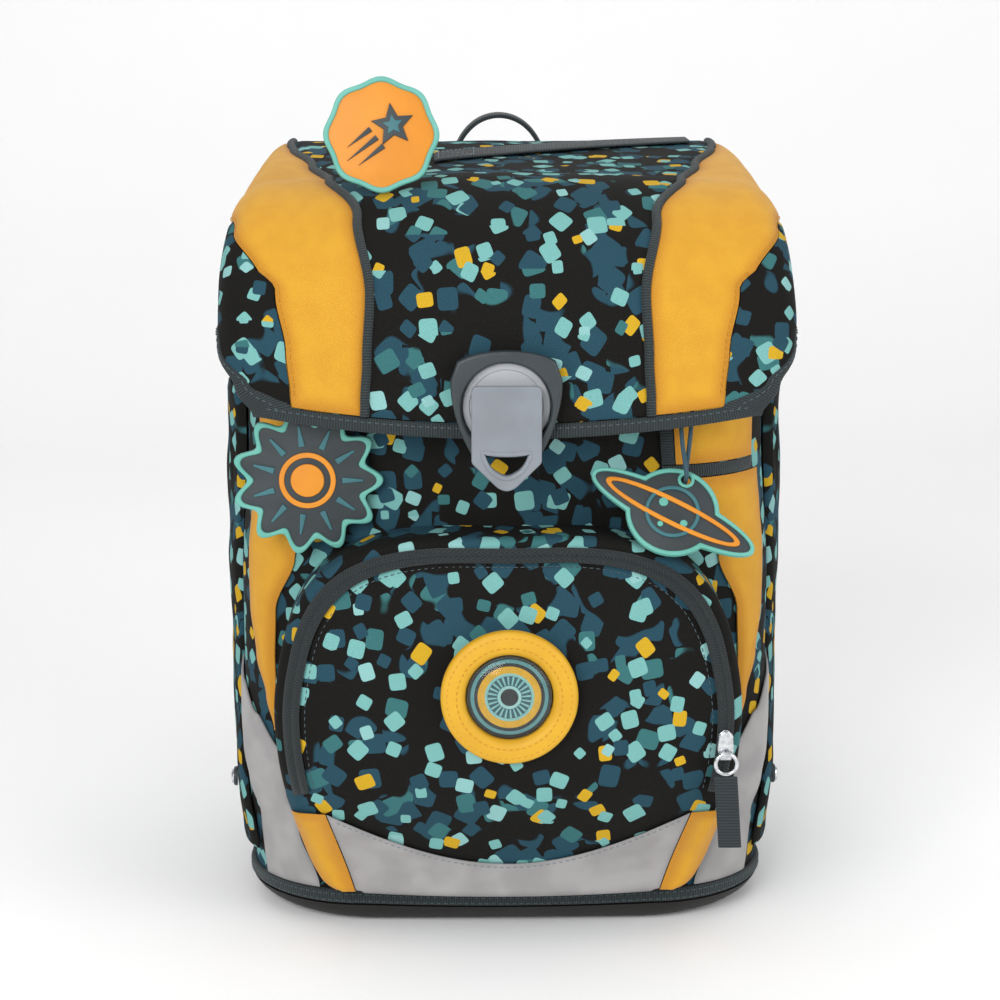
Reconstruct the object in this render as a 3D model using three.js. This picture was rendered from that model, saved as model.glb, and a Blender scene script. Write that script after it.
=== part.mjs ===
// School ransel: a hollow sewn body on a moulded base, a hooded lid with a turn buckle,
// a D-shaped front pocket, side pockets, a padded back and two shoulder straps.
// Millimetres. X to the right, the front faces -Y, Z up, the base stands on Z = 0.
import * as THREE from 'three';

// Driving dimensions of the body
const BODY_HEIGHT = 365;
const BODY_FRONT_HALF_WIDTH = 138;
const BODY_BACK_HALF_WIDTH = 121;
const BODY_FRONT = 92;
const BODY_BACK = 96;
const FRONT_CORNER_RADIUS = 56;
const BACK_CORNER_RADIUS = 24;
const FRONT_BULGE = 9;
const SIDE_BULGE = 4;
const SHELL_WALL = 3;
const FLOOR_WALL = 4;
const FLOOR_CHAMFER = 1.4;
const BASE_ROUNDING = 13;

// Shared clearances and cloth thicknesses
const GAP = 0.35;
const SKIN = 1.2;
const SEAM_GAP = 0.6;
const SKIN_LIFT = 0.85;

// Base tray and its tape
const TRAY_WALL = 3;
const TRAY_GAP = 0.7;
const TRAY_HEIGHT = 11;
const TAPE_WIDTH = 7;
const TAPE_THICKNESS = 1.6;

// Lid
const LID_STAND_OFF = 8;
const LID_THICKNESS = 2;
const LID_BEND_RADIUS = 74;
const LID_FRONT_CORNER_RADIUS = 20;
const LID_BACK_CORNER_RADIUS = 11;
const LID_TUCK = 1;
const LID_TUCK_HEIGHT = 60;
const LID_SIDE_CLEARANCE = 3.6;
const LID_FRONT_DROP = 37;
const LID_SLOPE = 12;
const LID_CROWN = 10;
const LID_EDGE_SAG = 9;
const LID_HUB_SETBACK = 98;
const LID_EAR_DROP = 100;
const BINDING_WIDTH = 7;
const BINDING_THICKNESS = 3.2;
const PIPING_DIAMETER = 4;

// Front pocket
const POCKET_SIDE_MARGIN = 27;
const POCKET_BOTTOM = 21;
const POCKET_BELOW_LID = 45;
const POCKET_DEPTH = 40;
const POCKET_FOOT_DEPTH = 9;
const POCKET_TOP_DEPTH = 25;
const PENDANT_LEAN = 0.6;
const POCKET_DOME = 9;
const POCKET_FOLLOW = 0.35;
const POCKET_WALL = 2;
const POCKET_EDGE_ROUND = 5;
const ZIP_WIDTH = 8;
const ZIP_THICKNESS = 1.6;
const ZIP_END = 0.65;

// Lens badge on the pocket
const LENS_RADIUS = 20;
const LENS_DOME = 7;
const LENS_RING_RADIUS = 32;
const LENS_RING_HEIGHT = 6;
const LENS_UP_SHARE = 0.614;
const LENS_ACROSS = 0;

// Buckle
const BUCKLE_WIDTH = 51.5;
const BUCKLE_HEIGHT = 50;
const BUCKLE_THICKNESS = 7;
const FRAME_BEVEL = 1;
const BUCKLE_ABOVE_FOOT = 18;
const DISC_RADIUS = 20.4;
const DISC_THICKNESS = 3;
const DISC_DROP = 1.6;
const LEVER_WIDTH = 32.5;
const LEVER_LENGTH = 42;
const LEVER_THICKNESS = 4;
const LEVER_CORNER = 3.5;
const LEVER_BEVEL = 0.6;
const SLOT_WIDTH = 20;
const SLOT_HEIGHT = 10;
const SLOT_ABOVE_TIP = 7;

// Webbing, handle and shoulder straps
const WEBBING_WIDTH = 25;
const WEBBING_THICKNESS = 1.6;
const HANDLE_SPAN = 52;
const HANDLE_RISE = 13.5;
const HANDLE_THICKNESS = 2.6;
const BACK_PAD_THICKNESS = 16;
const BACK_PAD_BELOW_TOP = 41;
const BACK_PAD_SIDE_MARGIN = 9;
const STRAP_WIDTH = 62;
const STRAP_THICKNESS = 12;
const STRAP_STAND_OFF = 58;
const STRAP_BELOW_PAD_TOP = 24;
const STRAP_BOTTOM = 52;
const STRAP_TOP_SPREAD = 46;
const STRAP_BOTTOM_SPREAD = 84;

// Side pockets and studs
const SIDE_POCKET_BOTTOM = 30;
const SIDE_POCKET_ABOVE_FOOT = 12;
const SIDE_POCKET_FULLNESS = 8;
const SIDE_POCKET_WALL = 1.6;
const STUD_RADIUS = 5;
const STUD_HEIGHT = 3;
const STUD_UP = 56;

// Hung badges
const BADGE_THICKNESS = 3.4;
const TOP_BADGE_RADIUS = 27.5;
const LEFT_BADGE_RADIUS = 36;
const PENDANT_LENGTH = 85;
const PENDANT_HEIGHT = 44;
const PENDANT_EYELET_RADIUS = 2.4;
const CORD_DIAMETER = 2.2;

// Places of the small pieces, right of the middle, up from the floor or back along the lid
const BUCKLE_ACROSS = -1;
const LEVER_HINGE_ABOVE = 2;
const TOP_STRAP_LEFT = -0.32;
const TOP_STRAP_RIGHT = 0.9;
const TOP_STRAP_LEFT_SETBACK = 86;
const TOP_STRAP_RIGHT_SETBACK = 20;
const HANDLE_ACROSS = -1;
const HANDLE_FOOT = 14;
const BACK_PAD_BOTTOM = 36;
const STRAP_RISE = 30;
const STRAP_JOIN = 0.66;
const STRAP_JOIN_GAP = 0.0013;
const LEFT_BADGE_INSET = 43;
const LEFT_BADGE_ABOVE_POCKET = 22;
const BURST_RAYS = 11;
const PENDANT_INSET = 61;
const PENDANT_ABOVE_POCKET = 9;
const PENDANT_TILT = -0.5;
const PENDANT_FORWARD = 18;
const PENDANT_RING_HEIGHT = 22;
const EYELET_ASIDE = 7;
const EYELET_ABOVE = 16;
const TOP_BADGE_ACROSS = -0.52;
const TOP_BADGE_ALONG = 0.585;
const TOP_BADGE_LEAN = 0.2;
const SLIDER_UP_SHARE = 0.467;
const SLIDER_LIFT = 0.5;
const SLIDER_WIDTH = 7.5;
const SLIDER_DEPTH = 4;
const SLIDER_LENGTH = 14;
const RING_RADIUS = 5;
const RING_WIRE = 1;
const TAB_WIDTH = 11;
const TAB_THICKNESS = 2.2;
const TAB_LENGTH = 36;
const TAB_DRIFT = 3;
const ZIP_SETOUT = 0.004;

const TOP_WIDTH_SHARE = 0.965;
const BACK_PLANE = BODY_BACK;
const LID_FRONT = BODY_FRONT + FRONT_BULGE / 2 + LID_STAND_OFF;
const LID_TOP = BODY_HEIGHT + LID_STAND_OFF;
const LID_FRONT_HALF_WIDTH = BODY_FRONT_HALF_WIDTH * TOP_WIDTH_SHARE + LID_SIDE_CLEARANCE;
const LID_BACK_HALF_WIDTH = BODY_BACK_HALF_WIDTH * TOP_WIDTH_SHARE + LID_SIDE_CLEARANCE;
const LID_FOOT = LID_TOP - LID_SLOPE - LID_BEND_RADIUS - LID_FRONT_DROP;
const POCKET_HALF_WIDTH = BODY_FRONT_HALF_WIDTH - POCKET_SIDE_MARGIN;
const POCKET_TOP = LID_FOOT - POCKET_BELOW_LID;
const POCKET_HEIGHT = POCKET_TOP - POCKET_BOTTOM;
const LENS_UP = POCKET_BOTTOM + POCKET_HEIGHT * LENS_UP_SHARE;
const SLIDER_UP = POCKET_BOTTOM + POCKET_HEIGHT * SLIDER_UP_SHARE;
const BUCKLE_UP = LID_FOOT + BUCKLE_ABOVE_FOOT;
const SIDE_POCKET_TOP = LID_FOOT + SIDE_POCKET_ABOVE_FOOT;
const LEFT_BADGE_ACROSS = LEFT_BADGE_INSET - BODY_FRONT_HALF_WIDTH;
const LEFT_BADGE_UP = POCKET_TOP + LEFT_BADGE_ABOVE_POCKET;
const PENDANT_ACROSS = BODY_FRONT_HALF_WIDTH - PENDANT_INSET;
const PENDANT_UP = POCKET_TOP + PENDANT_ABOVE_POCKET;
const BACK_PAD_HEIGHT = BODY_HEIGHT - BACK_PAD_BELOW_TOP - BACK_PAD_BOTTOM;
const BACK_PAD_HALF_WIDTH = BODY_BACK_HALF_WIDTH - BACK_PAD_SIDE_MARGIN;
const STRAP_TOP = BACK_PAD_BOTTOM + BACK_PAD_HEIGHT - STRAP_BELOW_PAD_TOP;

const group = new THREE.Group();

// Mesh helpers
function addPiece(name, geometry, look) {
  const material = new THREE.MeshStandardMaterial({
    color: look.color, roughness: look.roughness, metalness: look.metalness ?? 0,
  });
  const mesh = new THREE.Mesh(geometry, material);
  mesh.name = name;
  group.add(mesh);
  return mesh;
}

function signedVolume(points, faces) {
  let volume = 0;
  for (const [a, b, c] of faces) {
    volume += points[a].dot(new THREE.Vector3().crossVectors(points[b], points[c])) / 6;
  }
  return volume;
}

function solidFrom(points, faces) {
  const turned = signedVolume(points, faces) < 0;
  const geometry = new THREE.BufferGeometry();
  const flat = points.flatMap((point) => [point.x, point.y, point.z]);
  geometry.setAttribute('position', new THREE.Float32BufferAttribute(flat, 3));
  geometry.setIndex(faces.flatMap(([a, b, c]) => (turned ? [a, c, b] : [a, b, c])));
  geometry.computeVertexNormals();
  return geometry;
}

// A closed sheet: pointAt(row share, column share, layer) with layer 0 inside and 1 outside
function sheet(rows, columns, pointAt) {
  const points = [];
  for (const layer of [0, 1]) {
    for (let row = 0; row <= rows; row += 1) {
      for (let column = 0; column <= columns; column += 1) {
        points.push(pointAt(row / rows, column / columns, layer));
      }
    }
  }
  const stride = columns + 1;
  const at = (layer, row, column) => (layer * (rows + 1) + row) * stride + column;
  const faces = [];
  const quad = (a, b, c, d) => faces.push([a, b, c], [a, c, d]);
  for (let row = 0; row < rows; row += 1) {
    for (let column = 0; column < columns; column += 1) {
      quad(at(1, row, column), at(1, row, column + 1), at(1, row + 1, column + 1), at(1, row + 1, column));
      quad(at(0, row, column), at(0, row + 1, column), at(0, row + 1, column + 1), at(0, row, column + 1));
    }
    quad(at(0, row, 0), at(1, row, 0), at(1, row + 1, 0), at(0, row + 1, 0));
    quad(at(1, row, columns), at(0, row, columns), at(0, row + 1, columns), at(1, row + 1, columns));
  }
  for (let column = 0; column < columns; column += 1) {
    quad(at(1, 0, column), at(0, 0, column), at(0, 0, column + 1), at(1, 0, column + 1));
    quad(at(0, rows, column), at(1, rows, column), at(1, rows, column + 1), at(0, rows, column + 1));
  }
  return solidFrom(points, faces);
}

// A closed skin over rings of equal count, capped at both ends or joined end to end
function loft(rings, joined = false) {
  const count = rings[0].length;
  const points = rings.flat();
  const faces = [];
  const last = joined ? rings.length : rings.length - 1;
  for (let ring = 0; ring < last; ring += 1) {
    const low = ring * count;
    const high = ((ring + 1) % rings.length) * count;
    for (let step = 0; step < count; step += 1) {
      const next = (step + 1) % count;
      faces.push([low + step, low + next, high + next], [low + step, high + next, high + step]);
    }
  }
  if (!joined) {
    const cap = (start, flip) => {
      const centre = new THREE.Vector3();
      for (let step = 0; step < count; step += 1) centre.addScaledVector(points[start + step], 1 / count);
      points.push(centre);
      const hub = points.length - 1;
      for (let step = 0; step < count; step += 1) {
        const next = (step + 1) % count;
        if (flip) faces.push([start + next, start + step, hub]);
        else faces.push([start + step, start + next, hub]);
      }
    };
    cap(0, true);
    cap((rings.length - 1) * count, false);
  }
  return solidFrom(points, faces);
}

// Eased reading of a table at a share, rows sorted by their first column
function reading(table, share, column) {
  const key = Object.keys(table[0])[0];
  let index = 0;
  while (index < table.length - 2 && share > table[index + 1][key]) index += 1;
  const low = table[index];
  const high = table[index + 1];
  const part = THREE.MathUtils.clamp((share - low[key]) / (high[key] - low[key]), 0, 1);
  const eased = part * part * (3 - 2 * part);
  return low[column] + (high[column] - low[column]) * eased;
}

// Body plan at each height, as shares of the named widths and depths
const BODY_SECTIONS = [
  { up: 0.00, width: 0.950, front: 0.99 },
  { up: 0.08, width: 0.985, front: 1.01 },
  { up: 0.22, width: 1.000, front: 1.00 },
  { up: 0.45, width: 1.000, front: 0.98 },
  { up: 0.66, width: TOP_WIDTH_SHARE, front: 0.97 },
  { up: 1.00, width: TOP_WIDTH_SHARE * 0.98, front: 0.97 },
];

function bodySection(z) {
  const share = THREE.MathUtils.clamp(z / BODY_HEIGHT, 0, 1);
  const low = Math.max(0, 1 - z / BASE_ROUNDING);
  const inset = BASE_ROUNDING * (1 - Math.sqrt(Math.max(0, 1 - low * low)));
  const width = reading(BODY_SECTIONS, share, 'width');
  return {
    frontHalf: BODY_FRONT_HALF_WIDTH * width - inset,
    backHalf: BODY_BACK_HALF_WIDTH * width - inset,
    front: BODY_FRONT * reading(BODY_SECTIONS, share, 'front') - inset,
    back: BODY_BACK - inset * 0.5,
  };
}

// The stretches of half a section: front, front corner, side, back corner, back
function sectionStretches(section) {
  const depth = section.front + section.back;
  const lean = Math.atan2(section.frontHalf - section.backHalf, depth);
  const frontTurn = Math.PI / 2 + lean;
  const backTurn = Math.PI / 2 - lean;
  const frontCut = FRONT_CORNER_RADIUS * Math.tan(frontTurn / 2);
  const backCut = BACK_CORNER_RADIUS * Math.tan(backTurn / 2);
  const side = Math.hypot(depth, section.frontHalf - section.backHalf);
  return [
    { length: section.frontHalf - frontCut, turn: 0 },
    { length: FRONT_CORNER_RADIUS * frontTurn, turn: frontTurn, radius: FRONT_CORNER_RADIUS },
    { length: side - frontCut - backCut, turn: 0 },
    { length: BACK_CORNER_RADIUS * backTurn, turn: backTurn, radius: BACK_CORNER_RADIUS },
    { length: section.backHalf - backCut, turn: 0 },
  ];
}

// Length round from the front centre to a stretch's start plus a share of that stretch
function roundAt(z, stretchIndex, share) {
  const stretches = sectionStretches(bodySection(z));
  let length = 0;
  for (let index = 0; index < stretchIndex; index += 1) length += stretches[index].length;
  return length + stretches[stretchIndex].length * share;
}

// A point on the body: round is the length from the front centre, positive to the right
function bodyPoint(round, z, lift) {
  const section = bodySection(z);
  const stretches = sectionStretches(section);
  const sign = round < 0 ? -1 : 1;
  let rest = Math.abs(round);
  let x = 0;
  let y = -section.front;
  let heading = 0;
  let bulge = 0;
  for (let index = 0; index < stretches.length; index += 1) {
    const stretch = stretches[index];
    const last = index === stretches.length - 1;
    const run = last ? rest : Math.min(rest, stretch.length);
    const share = stretch.length > 0 ? run / stretch.length : 1;
    if (stretch.turn) {
      const turned = stretch.turn * share;
      x += stretch.radius * (Math.sin(heading + turned) - Math.sin(heading));
      y += stretch.radius * (Math.cos(heading) - Math.cos(heading + turned));
      heading += turned;
    } else {
      x += Math.cos(heading) * run;
      y += Math.sin(heading) * run;
    }
    rest -= run;
    if (rest <= 0) {
      if (index === 0) bulge = FRONT_BULGE * (1 - share * share);
      if (index === 2) bulge = SIDE_BULGE * 4 * share * (1 - share) * (1 - THREE.MathUtils.smoothstep(z / BODY_HEIGHT, 0.45, 0.7));
      break;
    }
  }
  const out = lift + bulge * Math.min(1, z / (BASE_ROUNDING * 2));
  return new THREE.Vector3(sign * (x + Math.sin(heading) * out), y - Math.cos(heading) * out, z);
}

// The lid's profile in the YZ plane: back edge, top, bend, front
const LID_BEND_Y = -LID_FRONT + LID_BEND_RADIUS;
const LID_TOP_RUN = BODY_BACK - LID_BEND_Y;
const LID_BEND_RUN = LID_BEND_RADIUS * Math.PI / 2;
const LID_LENGTH = LID_TOP_RUN + LID_BEND_RUN + LID_FRONT_DROP;
const LID_BEND_Z = LID_TOP - LID_SLOPE - LID_BEND_RADIUS;

function lidProfile(along) {
  if (along <= LID_TOP_RUN) {
    const fall = LID_SLOPE * (along / LID_TOP_RUN) ** 2;
    return { y: BODY_BACK - along, z: LID_TOP - fall, turn: 0 };
  }
  const turn = Math.min((along - LID_TOP_RUN) / LID_BEND_RADIUS, Math.PI / 2);
  const drop = Math.max(0, along - LID_TOP_RUN - LID_BEND_RUN);
  return {
    y: LID_BEND_Y - LID_BEND_RADIUS * Math.sin(turn),
    z: LID_BEND_Z + LID_BEND_RADIUS * Math.cos(turn) - drop,
    turn,
  };
}

function lidHalfWidth(y) {
  const share = THREE.MathUtils.clamp((y + LID_FRONT) / (LID_FRONT + BODY_BACK), 0, 1);
  return THREE.MathUtils.lerp(LID_FRONT_HALF_WIDTH, LID_BACK_HALF_WIDTH, share);
}

function lidCornerRadius(y) {
  const forward = 1 - THREE.MathUtils.smoothstep(y, LID_BEND_Y, BODY_BACK);
  return THREE.MathUtils.lerp(LID_BACK_CORNER_RADIUS, LID_FRONT_CORNER_RADIUS, forward);
}

// The lid's sides draw in towards the body near its lower edge
function lidTuck(z) {
  const foot = LID_BEND_Z - LID_FRONT_DROP;
  return LID_TUCK * (1 - THREE.MathUtils.smoothstep(z, foot, foot + LID_TUCK_HEIGHT));
}

// A point on the lid. across: 0 to 1 over the top, 1 to 2 round the corner, 2 to 3 down the ear.
// share: 0 at the back edge, 1 at the front edge.
function lidPoint(across, share, lift) {
  const sign = across < 0 ? -1 : 1;
  const a = Math.abs(across);
  const sag = LID_EDGE_SAG * Math.min(1, a) ** 2;
  const profile = lidProfile(share * (LID_LENGTH - sag));
  const outY = -Math.sin(profile.turn);
  const outZ = Math.cos(profile.turn);
  const flat = Math.min(a, 1);
  const turned = THREE.MathUtils.clamp(a - 1, 0, 1) * Math.PI / 2;
  const radius = lidCornerRadius(profile.y);
  const crown = LID_CROWN * (1 - flat * flat) * THREE.MathUtils.smoothstep(share, 0.25, 0.75);
  const depth = radius * (1 - Math.cos(turned));
  const rise = crown - depth + lift * Math.cos(turned);
  let y = profile.y + outY * rise;
  let z = profile.z + outZ * rise;
  if (a > 2) {
    const hubY = Math.max(y, -LID_FRONT + LID_HUB_SETBACK);
    const hubZ = LID_TOP - LID_EAR_DROP;
    y = THREE.MathUtils.lerp(y, hubY, a - 2);
    z = THREE.MathUtils.lerp(z, hubZ, a - 2);
  }
  const inner = lidHalfWidth(y) - radius;
  const x = inner * flat + (radius + lift - lidTuck(z)) * Math.sin(turned);
  return new THREE.Vector3(sign * x, y, z);
}

// Where the lid's seams run, by share along the lid
const LID_SEAMS = [
  { along: 0.00, piping: 1.150, seam: 2.300, edge: 2.93 },
  { along: 0.18, piping: 0.985, seam: 2.240, edge: 2.92 },
  { along: 0.36, piping: 0.875, seam: 2.100, edge: 2.90 },
  { along: 0.50, piping: 0.765, seam: 1.960, edge: 2.84 },
  { along: 0.64, piping: 0.612, seam: 1.520, edge: 2.66 },
  { along: 0.78, piping: 0.547, seam: 0.930, edge: 2.35 },
  { along: 0.88, piping: 0.560, seam: 0.885, edge: 1.90 },
  { along: 0.95, piping: 0.570, seam: 0.870, edge: 1.36 },
  { along: 1.00, piping: 0.575, seam: 0.860, edge: 1.08 },
];

function acrossShift(across, millimetres) {
  const a = Math.abs(across);
  if (a <= 1) return millimetres / (LID_FRONT_HALF_WIDTH - LID_FRONT_CORNER_RADIUS);
  if (a <= 2) return millimetres / (LID_FRONT_CORNER_RADIUS * Math.PI / 2);
  return millimetres / (LID_EAR_DROP - LID_FRONT_CORNER_RADIUS);
}

function lidSeam(column, share, side, shift) {
  const across = reading(LID_SEAMS, share, column);
  return side * (across + acrossShift(across, shift));
}

// Rows along the lid crowd towards its front edge
const LID_ROWS = 13;
const LID_ROW_POWER = 0.85;
const LID_PANEL_END = 1 - (BINDING_WIDTH + SEAM_GAP) / LID_LENGTH;

function lidPanel(rows, columns, startAt, endAt) {
  return sheet(rows, columns, (row, column, layer) => {
    const share = row ** LID_ROW_POWER * LID_PANEL_END;
    const across = THREE.MathUtils.lerp(startAt(share), endAt(share), column);
    return lidPoint(across, share, layer * LID_THICKNESS);
  });
}

// The D outline of the front pocket, half of it, as shares of its half width and height
const POCKET_OUTLINE = [
  { across: 0.00, up: 1.000 },
  { across: 0.34, up: 0.998 },
  { across: 0.56, up: 0.975 },
  { across: 0.73, up: 0.930 },
  { across: 0.85, up: 0.865 },
  { across: 0.93, up: 0.780 },
  { across: 0.975, up: 0.680 },
  { across: 1.00, up: 0.570 },
  { across: 0.995, up: 0.460 },
  { across: 0.965, up: 0.330 },
  { across: 0.92, up: 0.200 },
  { across: 0.855, up: 0.070 },
  { across: 0.79, up: 0.018 },
  { across: 0.40, up: 0.003 },
  { across: 0.00, up: 0.000 },
];
const POCKET_CENTRE = POCKET_BOTTOM + POCKET_HEIGHT * 0.48;
const pocketCurve = new THREE.CatmullRomCurve3(
  POCKET_OUTLINE.map((row) => new THREE.Vector3(
    row.across * POCKET_HALF_WIDTH, 0, POCKET_BOTTOM + row.up * POCKET_HEIGHT,
  )),
);

// A point of the outline, turn 0 at the top centre, 1 at the bottom centre, sign by side
function pocketOutline(turn, grow) {
  const point = pocketCurve.getPoint(Math.min(1, Math.abs(turn)));
  const z = POCKET_CENTRE + (point.z - POCKET_CENTRE) * grow;
  return { x: (turn < 0 ? -1 : 1) * point.x * grow, z };
}

function frontSurface(x, z) {
  return bodyPoint(x, z, 0);
}

// How far the pocket stands off the body at a height
function pocketDepth(z) {
  const low = THREE.MathUtils.smoothstep(z, POCKET_BOTTOM, POCKET_BOTTOM + POCKET_HEIGHT * 0.42);
  const high = THREE.MathUtils.smoothstep(z, POCKET_BOTTOM + POCKET_HEIGHT * 0.5, POCKET_TOP);
  const lower = THREE.MathUtils.lerp(POCKET_FOOT_DEPTH, POCKET_DEPTH, low);
  return THREE.MathUtils.lerp(lower, POCKET_TOP_DEPTH, high);
}

// The pocket's face seen from the front, at a place across and up
function pocketFront(x, z, lift) {
  const side = Math.min(1, (x / POCKET_HALF_WIDTH) ** 2);
  const follow = (frontSurface(x, z).y + BODY_FRONT) * POCKET_FOLLOW;
  const out = pocketDepth(z) + POCKET_DOME * (1 - side) + lift;
  return new THREE.Vector3(x, -BODY_FRONT - out + follow, z);
}

// The same face by turn and grow, the share from its centre to the outline
function pocketFace(turn, grow, lift) {
  const place = pocketOutline(turn, grow);
  return pocketFront(place.x, place.z, lift);
}

const look = {
  print: { color: 0x2b3a40, roughness: 0.85 },
  yellow: { color: 0xe4b226, roughness: 0.8 },
  trim: { color: 0x37464b, roughness: 0.8 },
  grey: { color: 0x9b999d, roughness: 0.6 },
  moulded: { color: 0x1c1a18, roughness: 0.7 },
  frame: { color: 0x444d52, roughness: 0.5 },
  plate: { color: 0x969ea8, roughness: 0.4 },
  ring: { color: 0xe6b428, roughness: 0.6 },
  chrome: { color: 0xb8bcc0, roughness: 0.25, metalness: 1 },
  rubber: { color: 0x3b4247, roughness: 0.6 },
  orange: { color: 0xe59a1f, roughness: 0.6 },
  mesh: { color: 0x202427, roughness: 0.9 },
  glass: { color: 0x2c3336, roughness: 0.1 },
  cord: { color: 0x2d505f, roughness: 0.8 },
};

// Rim of the body, following the lid's underside
function bodyRim(x, y) {
  const radius = lidCornerRadius(y);
  const aside = THREE.MathUtils.clamp((Math.abs(x) - lidHalfWidth(y) + radius) / radius, 0, 1);
  const drop = LID_STAND_OFF + radius * (1 - Math.sqrt(1 - aside * aside));
  if (y >= LID_BEND_Y) return LID_TOP - LID_SLOPE - drop;
  const inner = LID_BEND_RADIUS - drop;
  const reach = Math.min(Math.abs(y - LID_BEND_Y), inner);
  return LID_BEND_Z + Math.sqrt(inner * inner - reach * reach);
}

// Places round the body where its rings have their points: stretch and share
function ringStations() {
  const counts = [4, 6, 4, 3, 2];
  const half = [];
  counts.forEach((count, stretch) => {
    for (let step = 0; step < count; step += 1) half.push({ stretch, share: step / count });
  });
  const right = [...half, { stretch: 4, share: 1 }];
  const left = right.slice(1, -1).reverse();
  return [...right.map((place) => ({ ...place, sign: 1 })), ...left.map((place) => ({ ...place, sign: -1 }))];
}
const RING_STATIONS = ringStations();

function bodyRing(heightAt, lift) {
  return RING_STATIONS.map((place) => {
    const trial = bodyPoint(place.sign * roundAt(BODY_HEIGHT, place.stretch, place.share), BODY_HEIGHT, 0);
    const z = heightAt(trial.x, trial.y);
    return bodyPoint(place.sign * roundAt(z, place.stretch, place.share), z, lift);
  });
}

// Heights of the rounded foot's rings, as shares of the tray's height above its floor
const FOOT_STEPS = [0.09, 0.28, 0.55, 1];

function buildBodyShell() {
  const floor = TRAY_WALL + GAP;
  const wallShares = [0, 0.07, 0.18, 0.32, 0.48, 0.64, 0.81, 1];
  const footHeights = FOOT_STEPS.slice(0, -1).map((share) => TRAY_WALL + share * (TRAY_HEIGHT - TRAY_WALL));
  const wall = (share) => (x, y) => TRAY_HEIGHT + share * (bodyRim(x, y) - TRAY_HEIGHT);
  const outer = [
    bodyRing(() => floor, -FLOOR_CHAMFER),
    ...footHeights.map((height) => bodyRing(() => height, 0)),
    ...wallShares.map((share) => bodyRing(wall(share), 0)),
  ];
  const inner = [
    ...wallShares.slice().reverse().map((share) => bodyRing(wall(share), -SHELL_WALL)),
    bodyRing(() => (TRAY_HEIGHT + floor + FLOOR_WALL) / 2, -SHELL_WALL),
    bodyRing(() => floor + FLOOR_WALL, -SHELL_WALL - 1),
  ];
  addPiece('body_shell', loft([...outer, ...inner]), look.print);
}

function buildBaseTray() {
  const heights = FOOT_STEPS.map((share) => TRAY_WALL + share * (TRAY_HEIGHT - TRAY_WALL));
  const outer = [0, TRAY_WALL * 0.6, ...heights].map((height) => bodyRing(() => height, TRAY_WALL + TRAY_GAP));
  const inner = [...heights.slice().reverse(), TRAY_WALL].map((height) => bodyRing(() => height, TRAY_GAP));
  addPiece('base_tray', loft([...outer, ...inner]), look.moulded);
}

function buildBaseTape() {
  const low = TRAY_HEIGHT + GAP;
  const rings = [
    bodyRing(() => low, GAP),
    bodyRing(() => low, GAP + TAPE_THICKNESS + TRAY_WALL - 1),
    bodyRing(() => low + TAPE_WIDTH, GAP + TAPE_THICKNESS),
    bodyRing(() => low + TAPE_WIDTH, GAP),
  ];
  addPiece('base_tape', loft(rings, true), look.trim);
}

function buildLid() {
  const pipingHalf = PIPING_DIAMETER / 2 + SEAM_GAP * 2;
  addPiece('lid_centre_panel', lidPanel(
    LID_ROWS, 8,
    (share) => lidSeam('piping', share, -1, -pipingHalf),
    (share) => lidSeam('piping', share, 1, -pipingHalf),
  ), look.print);
  for (const [side, name] of [[-1, 'left'], [1, 'right']]) {
    addPiece(`lid_yellow_panel_${name}`, lidPanel(
      LID_ROWS, 4,
      (share) => lidSeam('piping', share, side, pipingHalf),
      (share) => lidSeam('seam', share, side, -SEAM_GAP / 2),
    ), look.yellow);
    addPiece(`lid_ear_${name}`, lidPanel(
      LID_ROWS, 4,
      (share) => lidSeam('seam', share, side, SEAM_GAP / 2),
      (share) => lidSeam('edge', Math.min(1, share + BINDING_WIDTH / LID_LENGTH), side, -BINDING_WIDTH - SEAM_GAP * 2),
    ), look.print);
    addPiece(`lid_piping_${name}`, lidPiping(side), look.trim);
  }
  addPiece('lid_binding', lidBinding(), look.trim);
}

function lidPiping(side) {
  const steps = LID_ROWS;
  const sides = 6;
  const rings = [];
  for (let step = 0; step <= steps; step += 1) {
    const share = (step / steps) ** LID_ROW_POWER * LID_PANEL_END;
    const across = lidSeam('piping', share, side, 0);
    const centre = lidPoint(across, share, LID_THICKNESS / 2 + 0.4);
    const ahead = lidPoint(across, Math.min(1, share + 0.01), LID_THICKNESS / 2 + 0.4);
    const lifted = lidPoint(across, share, LID_THICKNESS / 2 + 5);
    const along = ahead.sub(centre).normalize();
    const up = lifted.sub(centre).normalize();
    const aside = new THREE.Vector3().crossVectors(along, up).normalize();
    const ring = [];
    for (let turn = 0; turn < sides; turn += 1) {
      const angle = (turn / sides) * Math.PI * 2;
      ring.push(centre.clone()
        .addScaledVector(aside, Math.cos(angle) * PIPING_DIAMETER / 2)
        .addScaledVector(up, Math.sin(angle) * PIPING_DIAMETER / 2));
    }
    rings.push(ring);
  }
  return loft(rings);
}

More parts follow.
